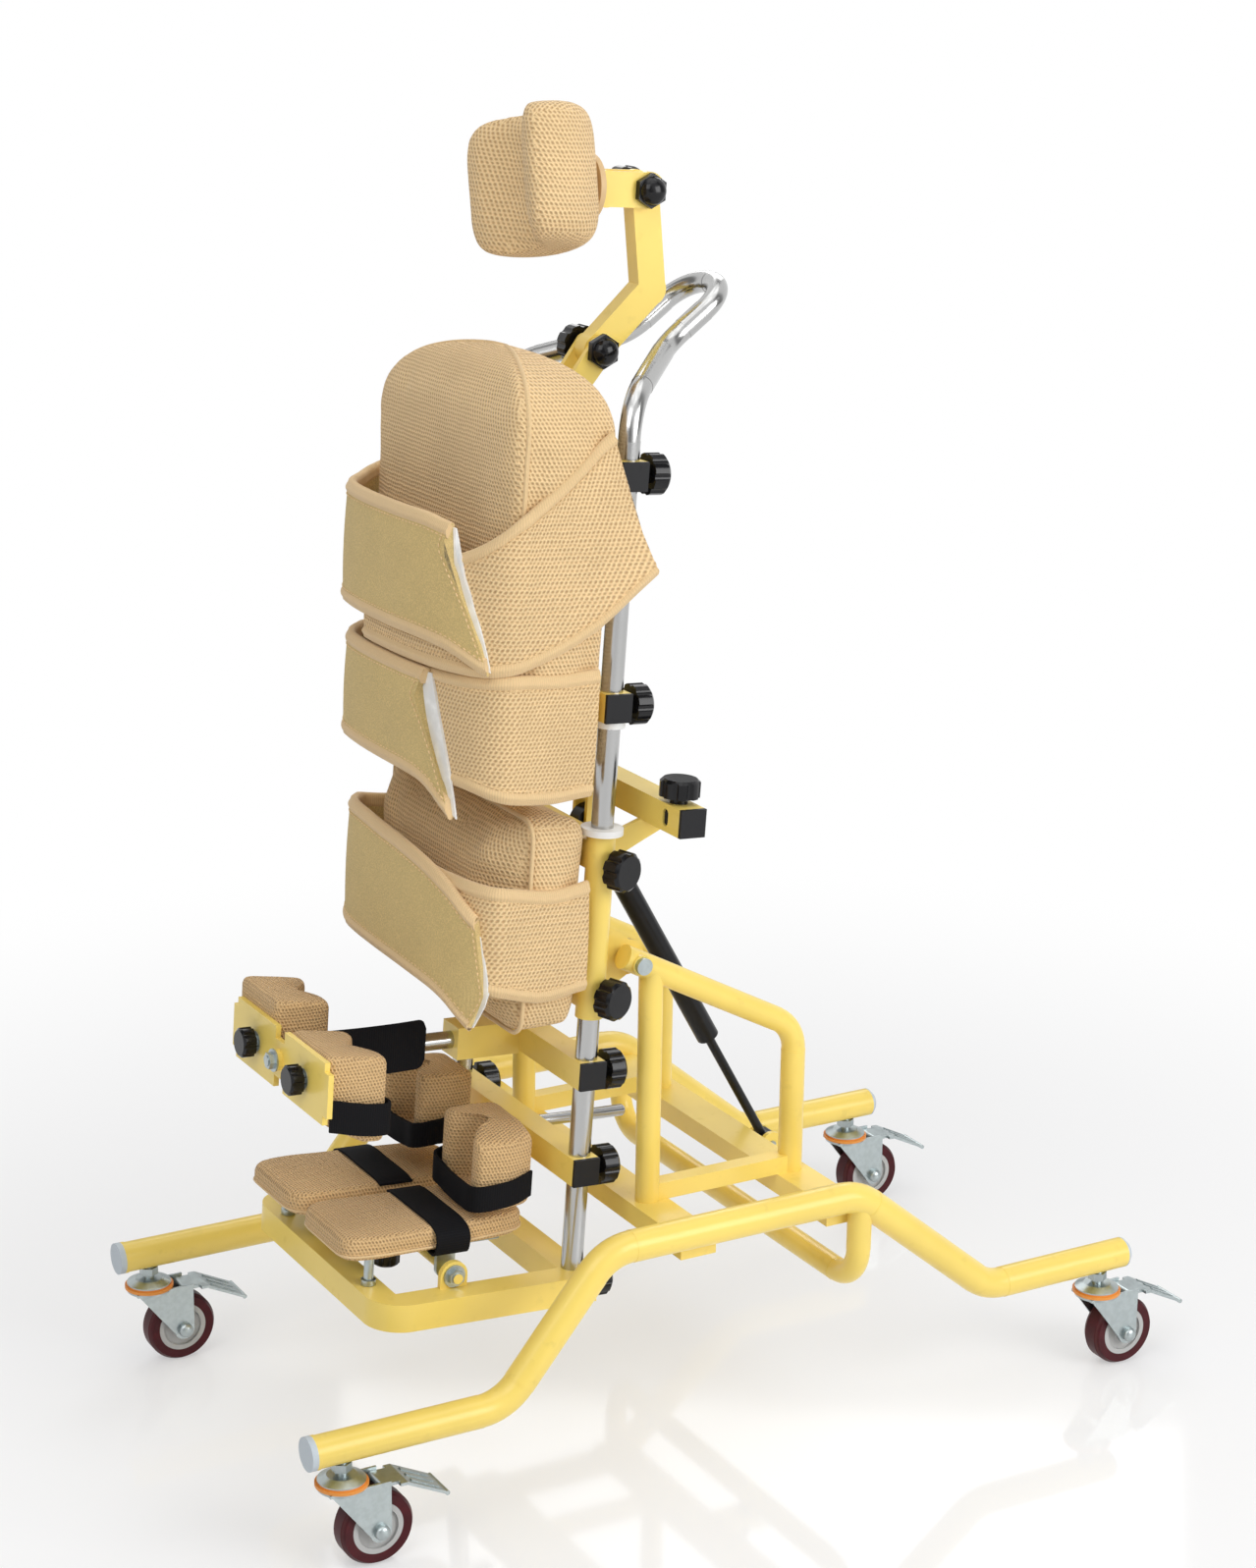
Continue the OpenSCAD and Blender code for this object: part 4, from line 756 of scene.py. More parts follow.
class Rows:
    """A tree of geometry nodes with named inputs."""

    KINDS = {"Material": "NodeSocketMaterial", "Sides": "NodeSocketInt"}

    def __init__(self, name, inputs):
        self.tree = bpy.data.node_groups.new(name, "GeometryNodeTree")
        face = self.tree.interface
        face.new_socket(name="Geometry", in_out="INPUT", socket_type="NodeSocketGeometry")
        face.new_socket(name="Geometry", in_out="OUTPUT", socket_type="NodeSocketGeometry")
        for title in inputs:
            face.new_socket(name=title, in_out="INPUT", socket_type=self.KINDS.get(title, "NodeSocketFloat"))
        self.given = self.tree.nodes.new("NodeGroupInput").outputs

    def node(self, kind, settings=None, sockets=None):
        """A node of that kind with its settings and sockets; returns its first output."""
        made = self.tree.nodes.new(kind)
        for key, value in (settings or {}).items():
            setattr(made, key, value)
        for key, value in (sockets or {}).items():
            if isinstance(value, bpy.types.NodeSocket):
                self.tree.links.new(value, made.inputs[key])
            else:
                made.inputs[key].default_value = value
        return made.outputs[0]

    def aimed(self, axis, vector):
        """A turn that lays an axis along a vector."""
        return self.node("FunctionNodeAlignRotationToVector", {"axis": axis}, {"Vector": vector})

    def drum(self, sides, width, height, lift):
        """A short cylinder of shares of a unit, lifted along its axis."""
        measures = {"Vertices": sides, "Radius": width / 2, "Depth": height}
        shape = self.node("GeometryNodeMeshCylinder", {}, measures)
        raised = {"Geometry": shape, "Translation": (0, 0, lift + height / 2)}
        return self.node("GeometryNodeTransform", {}, raised)

    def close(self, copies):
        """Makes the copies real, gives them the material and ends the tree."""
        real = self.node("GeometryNodeRealizeInstances", {}, {"Geometry": copies})
        coated = {"Geometry": real, "Material": self.given["Material"]}
        dressed = self.node("GeometryNodeSetMaterial", {}, coated)
        end = self.tree.nodes.new("NodeGroupOutput")
        self.tree.links.new(dressed, end.inputs[0])
        return self.tree


def stitch_tree():
    """Stitches at an even pitch along every run of edges."""
    rows = Rows("stitch_rows", ("Pitch", "Length", "Width", "Material"))
    given = rows.given
    curve = rows.node("GeometryNodeMeshToCurve", {}, {"Mesh": given["Geometry"]})
    spaced = {"Curve": curve, "Length": given["Pitch"]}
    even = rows.node("GeometryNodeResampleCurve", {"mode": "LENGTH"}, spaced)
    turn = rows.aimed("X", rows.node("GeometryNodeInputTangent"))
    size = rows.node("ShaderNodeCombineXYZ", {}, {0: given["Length"], 1: given["Width"], 2: given["Width"]})
    bead = rows.node("GeometryNodeMeshUVSphere", {}, {"Segments": 6, "Rings": 4, "Radius": 0.5})
    copies = {"Points": even, "Instance": bead, "Rotation": turn, "Scale": size}
    return rows.close(rows.node("GeometryNodeInstanceOnPoints", {}, copies))


def bolt_tree():
    """A washer and a bolt head on every point, along the direction that the point keeps as its aim."""
    rows = Rows("bolt_heads", ("Width", "Height", "Sides", "Material"))
    given = rows.given
    washer = rows.drum(24, 1.35, 0.2, 0.0)
    hexagon = rows.drum(given["Sides"], 1.0, 0.7, 0.2)
    crown = rows.drum(20, 0.62, 0.14, 0.9)
    head = rows.tree.nodes.new("GeometryNodeJoinGeometry")
    for part in (washer, hexagon, crown):
        rows.tree.links.new(part, head.inputs[0])
    aim = rows.node("GeometryNodeInputNamedAttribute", {"data_type": "FLOAT_VECTOR"}, {"Name": "aim"})
    size = rows.node("ShaderNodeCombineXYZ", {}, {0: given["Width"], 1: given["Width"], 2: given["Height"]})
    turn = rows.aimed("Z", aim)
    copies = {"Points": given["Geometry"], "Instance": head.outputs[0], "Rotation": turn, "Scale": size}
    return rows.close(rows.node("GeometryNodeInstanceOnPoints", {}, copies))


def grown(made, tree, values):
    """Runs a node tree on an object and keeps the result as its plain mesh."""
    modifier = made.modifiers.new(tree.name, "NODES")
    modifier.node_group = tree
    for item in tree.interface.items_tree:
        if item.in_out == "INPUT" and item.name in values:
            modifier[item.identifier] = values[item.name]
    apply_modifiers(made)
    return made


def bare(name, points, edges=()):
    """An object of upright places in mm, with edges and no faces."""
    mesh = bpy.data.meshes.new(name)
    mesh.from_pydata(lean(points).tolist(), list(edges), [])
    made = bpy.data.objects.new(name, mesh)
    bpy.context.scene.collection.objects.link(made)
    return made


def stitches(name, runs, body):
    """Rows of stitches along runs of points."""
    points = []
    edges = []
    for run in runs:
        start = len(points)
        points += [tuple(p) for p in run]
        edges += [(i, i + 1) for i in range(start, len(points) - 1)]
    pitch = measure("stitch_pitch") * MM
    values = {"Pitch": pitch, "Length": pitch * 0.72, "Width": 1.5 * MM, "Material": shared("sewing_thread")}
    made = grown(bare(name, points, edges), stitch_tree(), values)
    settle(made, "sewing_thread", body)


def bolts(name, places, aim, width, height, body, sides=6):
    """Bolt heads at places on a body, all facing one way."""
    made = bare(name, places)
    facing = lean([aim, (0, 0, 0)])
    facing = facing[0] - facing[1]
    kept = made.data.attributes.new("aim", "FLOAT_VECTOR", "POINT")
    for item in kept.data:
        item.vector = facing
    values = {"Width": width * MM, "Height": height * MM, "Sides": sides, "Material": shared("zinc_plate")}
    grown(made, bolt_tree(), values)
    settle(made, "zinc_plate", body, sharp=BOLT_EDGE)


def outline(half, low, high, r_low, r_high):
    """A rounded rectangle in x and z, from the low left corner round."""
    points = []
    corners = [(half - r_low, low + r_low, r_low, -90), (half - r_high, high - r_high, r_high, 0),
               (r_high - half, high - r_high, r_high, 90), (r_low - half, low + r_low, r_low, 180)]
    for x, z, r, start in corners:
        for k in range(CORNER_STEPS + 1):
            angle = math.radians(start + 90 * k / CORNER_STEPS)
            points.append((x + r * math.cos(angle), z + r * math.sin(angle)))
    full = []
    for i, p in enumerate(points):
        q = points[(i + 1) % len(points)]
        full.append(p)
        if (i + 1) % (CORNER_STEPS + 1) == 0:
            for k in range(1, SIDE_STEPS):
                full.append((p[0] + (q[0] - p[0]) * k / SIDE_STEPS, p[1] + (q[1] - p[1]) * k / SIDE_STEPS))
    return full


def face_cap(ring, y, crown):
    """Rings that close an outline with a low crown towards the front."""
    centre = np.mean(ring, axis=0)
    rings = []
    for share in CROWN_SHARES:
        front = y - crown * (1 - share ** 2.6)
        drawn = [centre + (np.asarray(p) - centre) * share for p in ring]
        rings.append([(x, front, z) for x, z in drawn])
    return rings


def pad_rings(layers, crown):
    """Rings of a pad from its rear to its crowned front; a layer is (y, half, low, high, r_low, r_high)."""
    rings = [[(x, y, z) for x, z in outline(*shape)] for y, *shape in layers]
    y, *shape = layers[-1]
    return rings + face_cap(outline(*shape), y, crown)


def shrunk(layers, by):
    """The same layers drawn in, to leave room for the swelling."""
    return [(y, half - by, low + by, high - by, *radii) for y, half, low, high, *radii in layers]


def thigh_pad():
    """Thigh pad: a block whose front slopes in to a flat panel, with piping round the foot of the slope."""
    rear, front = PAD_REAR, PAD_FRONT
    layers = [(rear, 136, 462, 654, 12, 12), (rear - 12, 151, 448, 664, 18, 18),
              (rear - (rear - front) * 0.4, 151.5, 447, 665, 20, 20), (front + 34, 151.5, 447, 665, 20, 20),
              (front + 30, 150, 449, 663, 20, 20), (front + 2, 116, 484, 632, 14, 14),
              (front, 113, 487, 629, 14, 14)]
    cap = measure("puff")
    made = plain("thigh_pad_cover", *loft(pad_rings(shrunk(layers, cap * 0.5), 3.0)))
    puffed(made, cap)
    settle(made, "mesh_cloth", "tilt", ["thigh_pad"], sharp=SOFT_EDGE)
    y, *shape = shrunk(layers, 0.5)[4]
    seam = [(x, y, z) for x, z in outline(*shape)]
    cord = plain("thigh_pad_cover_piping", *tube(seam, 2.3, 8, True))
    settle(cord, "edge_binding", "tilt")


def laid_on(made, path, depth):
    """A path moved onto a piece's surface, and sunk into it by a depth in mm."""
    mesh = made.data
    surface = BVHTree.FromPolygons([v.co for v in mesh.vertices], [tuple(p.vertices) for p in mesh.polygons])
    spots = []
    for place in lean(path):
        spot, normal = surface.find_nearest(Vector(place))[:2]
        spots.append(spot - normal * depth * MM)
    return unlean(spots)


def back_pad():
    """Back pad: a block whose plan draws in to a dome at its top, with piping up its front edges and over."""
    centre = np.array([0.0, (PAD_FRONT + PAD_REAR) / 2])
    high, spring, low = 1098.0, 990.0, 701.5
    half, front = PAD_HALF - 0.5, PAD_FRONT - 12.0
    plan = np.array(rounded_plan([(half, front), (half, PAD_REAR), (-half, PAD_REAR), (-half, front)], 13))
    plan[:, 1] -= 4.0 * np.clip(1 - (plan[:, 0] / half) ** 2, 0, 1) * (plan[:, 1] < front + 1)
    levels = [(low, 0.93), (low + 3, 0.965), (low + 9, 0.99), (low + 18, 1.0)]
    levels += [(z, 1.0) for z in np.linspace(low + 40, spring, 12)]
    for turn in np.linspace(0, 1, 26)[1:]:
        share = max(0.02, math.cos(turn * math.pi / 2))
        levels.append((spring + (high - spring) * (1 - share ** 2) ** 0.25, share))
    rings = [[(*q, z) for q in centre + (plan - centre) * share] for z, share in levels]
    made = plain("back_pad_cover", *loft(rings))
    rise = [(low, low)]
    for (z0, share0), (z1, share1) in zip(levels, levels[1:]):
        rise.append((z1, rise[-1][1] + math.hypot(z1 - z0, (share1 - share0) * 90)))
    puffed(made, measure("puff") * 0.7)
    settle(made, "mesh_cloth", "back", ["back_pad"], sharp=SOFT_EDGE, rise=rise)
    edge = np.array([half - 1.2, PAD_FRONT - 1.0]) - centre
    seam = [(edge[0] * s, centre[1] + edge[1] * s, z + 0.6 * (1 - s)) for z, s in levels[1:]]
    seam += [(-x, y, z) for x, y, z in reversed(seam[:-1])]
    cord = plain("back_pad_piping", *tube(laid_on(made, smooth_path(seam, 160), 0.9), 2.6, 8))
    settle(cord, "edge_binding", "back")


def at(table, value):
    """A height from a short table of (place, height), with its corners eased."""
    places, heights = zip(*sorted(table))
    blur = (places[-1] - places[0]) * 0.045
    return float(np.mean([np.interp(value + blur * k, places, heights) for k in (-1, -0.5, 0, 0.5, 1)]))


@dataclass
class Belt:
    """One belt: a path round the front and the heights of its two panels along it.

    A place on the path is an angle from 0, the left side of the pad, through 90, the front, to 180.
    Less than 0 and more than 180 are mm back along the sides of the pad.
    """

    SIDE_Y = -231.0

    name: str
    body: str
    front: float
    near_top: list
    near_low: list
    flap_top: list
    flap_low: list
    flap_end: list
    tape_end: list
    rear: tuple

    def point(self, place, out):
        """The x and y of the path pushed outwards, and the outward direction."""
        half = PAD_HALF + 1.5 + out
        if place < 0:
            return np.array([half, self.SIDE_Y - place]), np.array([1.0, 0.0])
        if place > 180:
            return np.array([-half, self.SIDE_Y + place - 180]), np.array([-1.0, 0.0])
        front = self.front - out
        c = math.cos(math.radians(place))
        s = math.sin(math.radians(place))
        x = half * math.copysign(abs(c) ** 0.8, c)
        y = self.SIDE_Y + (front - self.SIDE_Y) * s ** 0.9
        ahead = np.array([c * (self.SIDE_Y - front), -s * half])
        return np.array([x, y]), ahead / np.linalg.norm(ahead)

    def band(self, name, stations, low, high, out, thick, rounded=True):
        """A padded band: stations run along the belt as functions of the share up its height."""
        section = [(v, -1, 0.0) for v in np.linspace(0.0, 1.0, 9)]
        if rounded:
            section += [(1.0, -math.cos(t), math.sin(t)) for t in (0.6, 1.2, 1.9, 2.5)]
        section += [(v, 1, 0.0) for v in np.linspace(1.0, 0.0, 9)]
        if rounded:
            section += [(0.0, math.cos(t), -math.sin(t)) for t in (0.6, 1.2, 1.9, 2.5)]
        rings = []
        flat = []
        run = 0.0
        last = None
        for station in stations:
            ring = []
            mid = self.point(station(0.5), out(station(0.5)))[0]
            if last is not None:
                run += np.linalg.norm(mid - last)
            last = mid
            for v, side, past in section:
                place = station(v)
                spot, ahead = self.point(place, out(place))
                z0 = low(place)
                z1 = high(place)
                z = z0 + (z1 - z0) * v
                belly = BELT_BELLY * math.sin(math.pi * v)
                spot = spot + ahead * (side * thick / 2 + (belly if side > 0 else 0))
                ring.append((spot[0], spot[1], z + past * thick / 2))
                flat.append((run, z))
            rings.append(ring)
        return plain(name, *loft(rings)), flat

    def near_stations(self):
        """Stations along the near panel, which slant with its rear edge."""
        places = np.concatenate([np.linspace(-self.rear[0], 0, 8), np.linspace(4, 104, 28)])
        slant = self.rear[0] - self.rear[1]
        return [(lambda v, p=p: p + slant * v * max(0.0, min(1.0, -p / self.rear[0]))) for p in places]

    def end_place(self, v):
        """Where the flap ends, at a share up its height."""
        return at(self.flap_end, v)

    def flap_stations(self):
        """Stations along the flap, from its rear edge to its shaped end."""
        start = 180 + self.rear[0]
        slant = self.rear[0] - self.rear[1]
        shares = np.concatenate([np.linspace(0, SIDE_SHARE, 8), np.linspace(0.33, 1, 34)])

        def station(share):
            def place(v):
                begin = start - slant * v
                if share <= SIDE_SHARE:
                    return begin + (FAR_SIDE - begin) * share / SIDE_SHARE
                return FAR_SIDE + (self.end_place(v) - FAR_SIDE) * (share - SIDE_SHARE) / (1 - SIDE_SHARE)
            return place
        return [station(share) for share in shares]

    def flap_out(self, place):
        """How far the flap stands off the path, to lie over the near panel."""
        return (measure("belt_t") + BELT_BELLY) * max(0.0, min(1.0, (150 - place) / 30))

    def top_of(self, place):
        """Height of the flap's top edge."""
        return at(self.flap_top, place)

    def low_of(self, place):
        """Height of the flap's low edge."""
        return at(self.flap_low, place)


def mirrored(table):
    """The side heights of a near panel, carried to the far side of the path."""
    return [(180 - place, height) for place, height in table if place <= 0]


def hem(belt, name, rows, edge, height, out):
    """Binding along a band's low edge, 0, or high edge, 1; returns the run of stitches beside it."""
    wide = measure("hem_w")
    thick = measure("belt_t") + 1.4
    inward = 1 - 2 * edge
    share = wide / (belt.top_of(90) - belt.low_of(90))
    held = [(lambda v, row=row: row(edge + (v - edge) * share)) for row in rows]
    low = lambda place: height(place) - wide * edge
    high = lambda place: height(place) + wide * (1 - edge)
    made, flat = belt.band(name, held, low, high, out, thick)
    settle(made, "edge_binding", belt.body, (), flat, BELT_EDGE)
    run = []
    for row in rows[1:-1]:
        place = row(edge)
        spot, ahead = belt.point(place, out(place))
        spot = spot + ahead * (measure("belt_t") / 2 + STITCH_LIFT)
        run.append((spot[0], spot[1], height(place) + (wide + 3.0) * inward))
    return run


def dress_belt(belt):
    """Panels, hems, hook tape and stitches of one belt."""
    thick = measure("belt_t")
    none = lambda place: 0.0
    near_low = lambda place: at(belt.near_low, place)
    near_top = lambda place: at(belt.near_top, place)
    stations = belt.near_stations()
    panel, flat = belt.band(belt.name + "_panel", stations, near_low, near_top, none, thick)
    settle(panel, "mesh_cloth", belt.body, [belt.name], flat, BELT_EDGE)
    flaps = belt.flap_stations()
    flap, flat = belt.band(belt.name + "_flap", flaps, belt.low_of, belt.top_of, belt.flap_out, thick)
    settle(flap, "velour_cloth", belt.body, [belt.name], flat, BELT_EDGE)
    runs = []
    for part, rows, low, high, out in (("panel", stations, near_low, near_top, none),
                                       ("flap", flaps, belt.low_of, belt.top_of, belt.flap_out)):
        runs.append(hem(belt, f"{belt.name}_{part}_hem_top", rows, 1, high, out))
        runs.append(hem(belt, f"{belt.name}_{part}_hem_low", rows, 0, low, out))
    edge = []
    for v in np.linspace(0.08, 0.94, 24):
        place = belt.end_place(v) + 2.2
        spot, ahead = belt.point(place, belt.flap_out(place))
        spot = spot + ahead * (thick / 2 + STITCH_LIFT + BELT_BELLY * math.sin(math.pi * v))
        edge.append((spot[0], spot[1], belt.low_of(place) + (belt.top_of(place) - belt.low_of(place)) * v))
    runs.append(edge)
    stitches(belt.name + "_stitches", runs, belt.body)
    tape_rows = []
    for share in np.linspace(0, 1, 5):
        tape_rows.append(lambda v, k=share: at(belt.tape_end, v) * (1 - k) + (belt.end_place(v) + 3.0) * k)
    tape, flat = belt.band(belt.name + "_hook_tape", tape_rows, belt.low_of, belt.top_of,
                           lambda place: thick * 0.5 + 2.2, 2.0, False)
    settle(tape, "hook_tape", belt.body, (), flat, BELT_EDGE)


CHEST = Belt(
    "chest_belt", "back", -292.0,
    near_top=[(-82, 1034), (-61, 1011), (-41, 991), (-21, 974), (0, 958), (20, 936), (40, 917), (60, 905),
              (110, 900)],
    near_low=[(-143, 908), (-121, 887), (-81, 852), (-41, 830), (0, 814), (20, 809), (110, 808)],
    flap_top=mirrored([(-82, 1034), (-61, 1011), (-41, 991), (-21, 974), (0, 955)])
    + [(150, 946), (60, 946), (50, 938)],
    flap_low=mirrored([(-143, 908), (-121, 887), (-81, 852), (-41, 838), (0, 834)])
    + [(150, 836), (60, 836), (40, 827), (22, 806)],
    flap_end=[(0, 24), (0.42, 39), (0.8, 55), (1, 52)],
    tape_end=[(0, 22), (0.42, 35), (0.8, 49), (1, 50)],
    rear=(140, 82))
HIP = Belt(
    "hip_belt", "back", -283.0,
    near_top=[(-84, 806), (-41, 802), (0, 804), (60, 798), (110, 796)],
    near_low=[(-84, 692), (-41, 686), (0, 688), (20, 693), (40, 700), (110, 702)],
    flap_top=[(264, 800), (180, 794), (120, 796), (70, 797)],
    flap_low=[(264, 690), (180, 698), (100, 701), (70, 700), (60, 694), (50, 676), (44, 658)],
    flap_end=[(0, 46), (0.35, 58), (0.75, 72), (1, 67)],
    tape_end=[(0, 43), (0.35, 51), (0.75, 60), (1, 65)],
    rear=(84, 84))
THIGH = Belt(
    "thigh_belt", "tilt", -268.0,
    near_top=[(-94, 600), (-61, 592), (-41, 591), (0, 598), (110, 602)],
    near_low=[(-94, 498), (-61, 491), (-41, 488), (0, 498), (20, 502), (110, 502)],
    flap_top=[(274, 604), (180, 612), (110, 625), (80, 616), (60, 604), (40, 582), (30, 564)],
    flap_low=[(274, 498), (180, 502), (90, 501), (60, 494), (50, 488), (40, 476), (31, 460)],
    flap_end=[(0, 31), (0.35, 18), (0.7, 24), (1, 30)],
    tape_end=[(0, 28), (0.35, 14), (0.7, 20.5), (1, 29)],
    rear=(92, 88))


class STANDING_OT_belts(bpy.types.Operator):
    """Makes the chest, hip and thigh belts with their hems and hook tape."""

    bl_idname = "standing.belts"
    bl_label = "Belts"

    def execute(self, context):
        for belt in (CHEST, HIP, THIGH):
            dress_belt(belt)
        return {"FINISHED"}


class STANDING_OT_pads(bpy.types.Operator):
    """Makes the back and thigh pads with their boards, the head pad, its bracket and the arm knobs' caps."""

    bl_idname = "standing.pads"
    bl_label = "Pads"

    def execute(self, context):
        back_pad()
        thigh_pad()
        board("back_board", 733, 1051, "back", "back_pad", (800, 880, 950, 1030))
        board("thigh_board", 470, 646, "tilt", "thigh_pad", (520, 580))
        head_pad()
        head_bracket()
        for name, y, z in HEAD_KNOBS:
            arc = [(7.4 + 10.5 * math.sin(t), 13.6 * math.cos(t)) for t in np.linspace(0, 1.5, 12)]
            dome = turned(0, (16.4, y, z), [(6.0, 13.6)] + arc, 40)
            settle(plain(name + "_cap", *dome), "knob_black", name)
        return {"FINISHED"}


def board(name, low, high, body, node, rows):
    """The stiff board behind a pad, with its fixing screws."""
    shape = box(-BOARD_HALF, BOARD_HALF, BOARD_FRONT - 1.0, BOARD_REAR, low, high, 1.5)
    settle(plain(name, *shape), "cap_black", body, [node])
    places = [(x, BOARD_REAR, z) for x in (-SCREW_X, SCREW_X) for z in rows]
    bolts(name + "_screws", places, (0, 1, 0), 8.0, 3.0, body, 16)


def head_pad():
    """Head support: two thick wings either side of a valley, rolled on the plate behind it."""
    wide, deep, half_h = 153.0, 65.5, 67.0
    rear, up_z, mid_z = -113.0, 1245.2, 5.0
    cos = math.cos(math.radians(16))
    sin = math.sin(math.radians(16))
    side = [(0.0, -0.86), (0.1, -0.93), (0.225, -1.14), (0.36, -1.37), (0.45, -1.28), (0.498, -0.9),
            (0.485, -0.66), (0.445, -0.46), (0.35, -0.22), (0.2, -0.06), (0.0, 0.0)]
    half = smooth_path([(x * wide, y * deep, 0.0) for x, y in side], 41)
    plan = [p[:2] for p in half] + [(-p[0], p[1]) for p in half[-2:0:-1]]
    middle = np.array([0.0, -0.6 * deep])
    rings = []
    for turn in np.linspace(-1.0, 1.0, 41)[1:-1]:
        z = math.copysign(1 - (1 - abs(turn)) ** 2.2, turn)
        draw = (1 - abs(z) ** 5) ** 0.22
        ring = []
        for p in plan:
            x, y = middle + (np.asarray(p) - middle) * draw
            h = mid_z + half_h * z
            ring.append((x * cos - h * sin, rear + y, up_z + x * sin + h * cos))
        rings.append(ring)
    made = plain("head_pad_cover", *loft(rings))
    puffed(made, measure("puff") * 0.5, 4.0)
    settle(made, "mesh_cloth", "head_pad", ["head_pad"], sharp=SOFT_EDGE)


def head_bracket():
    """The two cheeks on the back board that hold the head support's lower arm."""
    y, z = -88.3, 1091.3
    parts = []
    for side in (-1, 1):
        faces = sorted((CHEEK_IN * side, (CHEEK_IN + CHEEK_T) * side))
        turns = np.linspace(-0.9, math.pi - 0.9, 14)
        ring = [(y + CHEEK_R * math.cos(t), z + CHEEK_R * math.sin(t)) for t in turns]
        ring += [(BOARD_REAR, 1050.5), (BOARD_REAR, 1012)]
        parts.append(loft([[(x, p, q) for p, q in ring] for x in faces]))
    settle(plain("head_bracket", *join(parts)), "powder_yellow", "back", ["back_pad"])


def strap(name, body, node, path, up, width, thick, ends=0.0):
    """A flat black strap along a path in upright mm, its width along up; ends rounds its last corners."""
    p = np.asarray(path, float)
    rise = np.asarray(up, float)
    step = np.gradient(p, axis=0)
    runs = np.concatenate([[0.0], np.cumsum(np.linalg.norm(np.diff(p, axis=0), axis=1))])
    rings = []
    flat = []
    for place, ahead, run in zip(p, step, runs):
        out = np.cross(ahead, rise)
        out /= np.linalg.norm(out)
        left = max(0.0, ends - (runs[-1] - run))
        trim = ends - math.sqrt(max(0.0, ends ** 2 - left ** 2))
        wide = width - 2 * trim
        ring = []
        for w, t in ((-0.5, -0.5), (0.5, -0.5), (0.52, 0.0), (0.5, 0.5), (-0.5, 0.5), (-0.52, 0.0)):
            ring.append(place + rise * wide * w + out * thick * t)
            flat.append((run, wide * w))
        rings.append(ring)
    made = plain(name, *loft(rings))
    settle(made, "strap_webbing", body, [node], flat, STRAP_EDGE)


def smooth_path(points, count=40):
    """A smooth curve through a few points."""
    p = np.asarray(points, float)
    full = np.vstack([2 * p[0] - p[1], p, 2 * p[-1] - p[-2]])
    made = []
    for s in np.linspace(0, len(p) - 1 - 1e-6, count):
        i = int(s)
        t = s - i
        a, b, c, d = full[i], full[i + 1], full[i + 2], full[i + 3]
        bend = (2 * a - 5 * b + 4 * c - d) * t * t
        twist = (3 * b - a - 3 * c + d) * t ** 3
        made.append(0.5 * (2 * b + (c - a) * t + bend + twist))
    return made


def block(plan, low, high, edge):
    """A foam block from a plan outline, with softened top and bottom edges."""
    p = np.asarray(plan, float)
    centre = p.mean(0)

    def ring(z, inset):
        away = p - centre
        length = np.linalg.norm(away, axis=1)[:, None]
        q = centre + away * (1 - inset / length)
        return [(x, y, z) for x, y in q]
    turns = [(0.0, 1.0), (0.2, 0.5), (0.5, 0.2), (1.0, 0.0)]
    rings = [ring(low + edge * rise, edge * draw) for rise, draw in turns]
    rings += [ring(low + (high - low) * share, 0.0) for share in (0.35, 0.5, 0.65)]
    rings += [ring(high - edge * rise, edge * draw) for rise, draw in reversed(turns)]
    return loft(rings)


def rounded_plan(points, radius):
    """A closed plan with its corners rounded by arcs."""
    p = [np.asarray(q, float) for q in points]
    made = []
    for i, corner in enumerate(p):
        back = p[i - 1] - corner
        ahead = p[(i + 1) % len(p)] - corner
        reach = min(radius, 0.45 * np.linalg.norm(back), 0.45 * np.linalg.norm(ahead))
        start = corner + back / np.linalg.norm(back) * reach
        end = corner + ahead / np.linalg.norm(ahead) * reach
        for t in np.linspace(0, 1, 5):
            made.append((1 - t) ** 2 * start + 2 * t * (1 - t) * corner + t * t * end)
    dense = []
    for i, q in enumerate(made):
        following = made[(i + 1) % len(made)]
        parts = max(1, int(np.linalg.norm(following - q) / 7))
        dense += [q + (following - q) * k / parts for k in range(parts)]
    return [tuple(q) for q in dense]


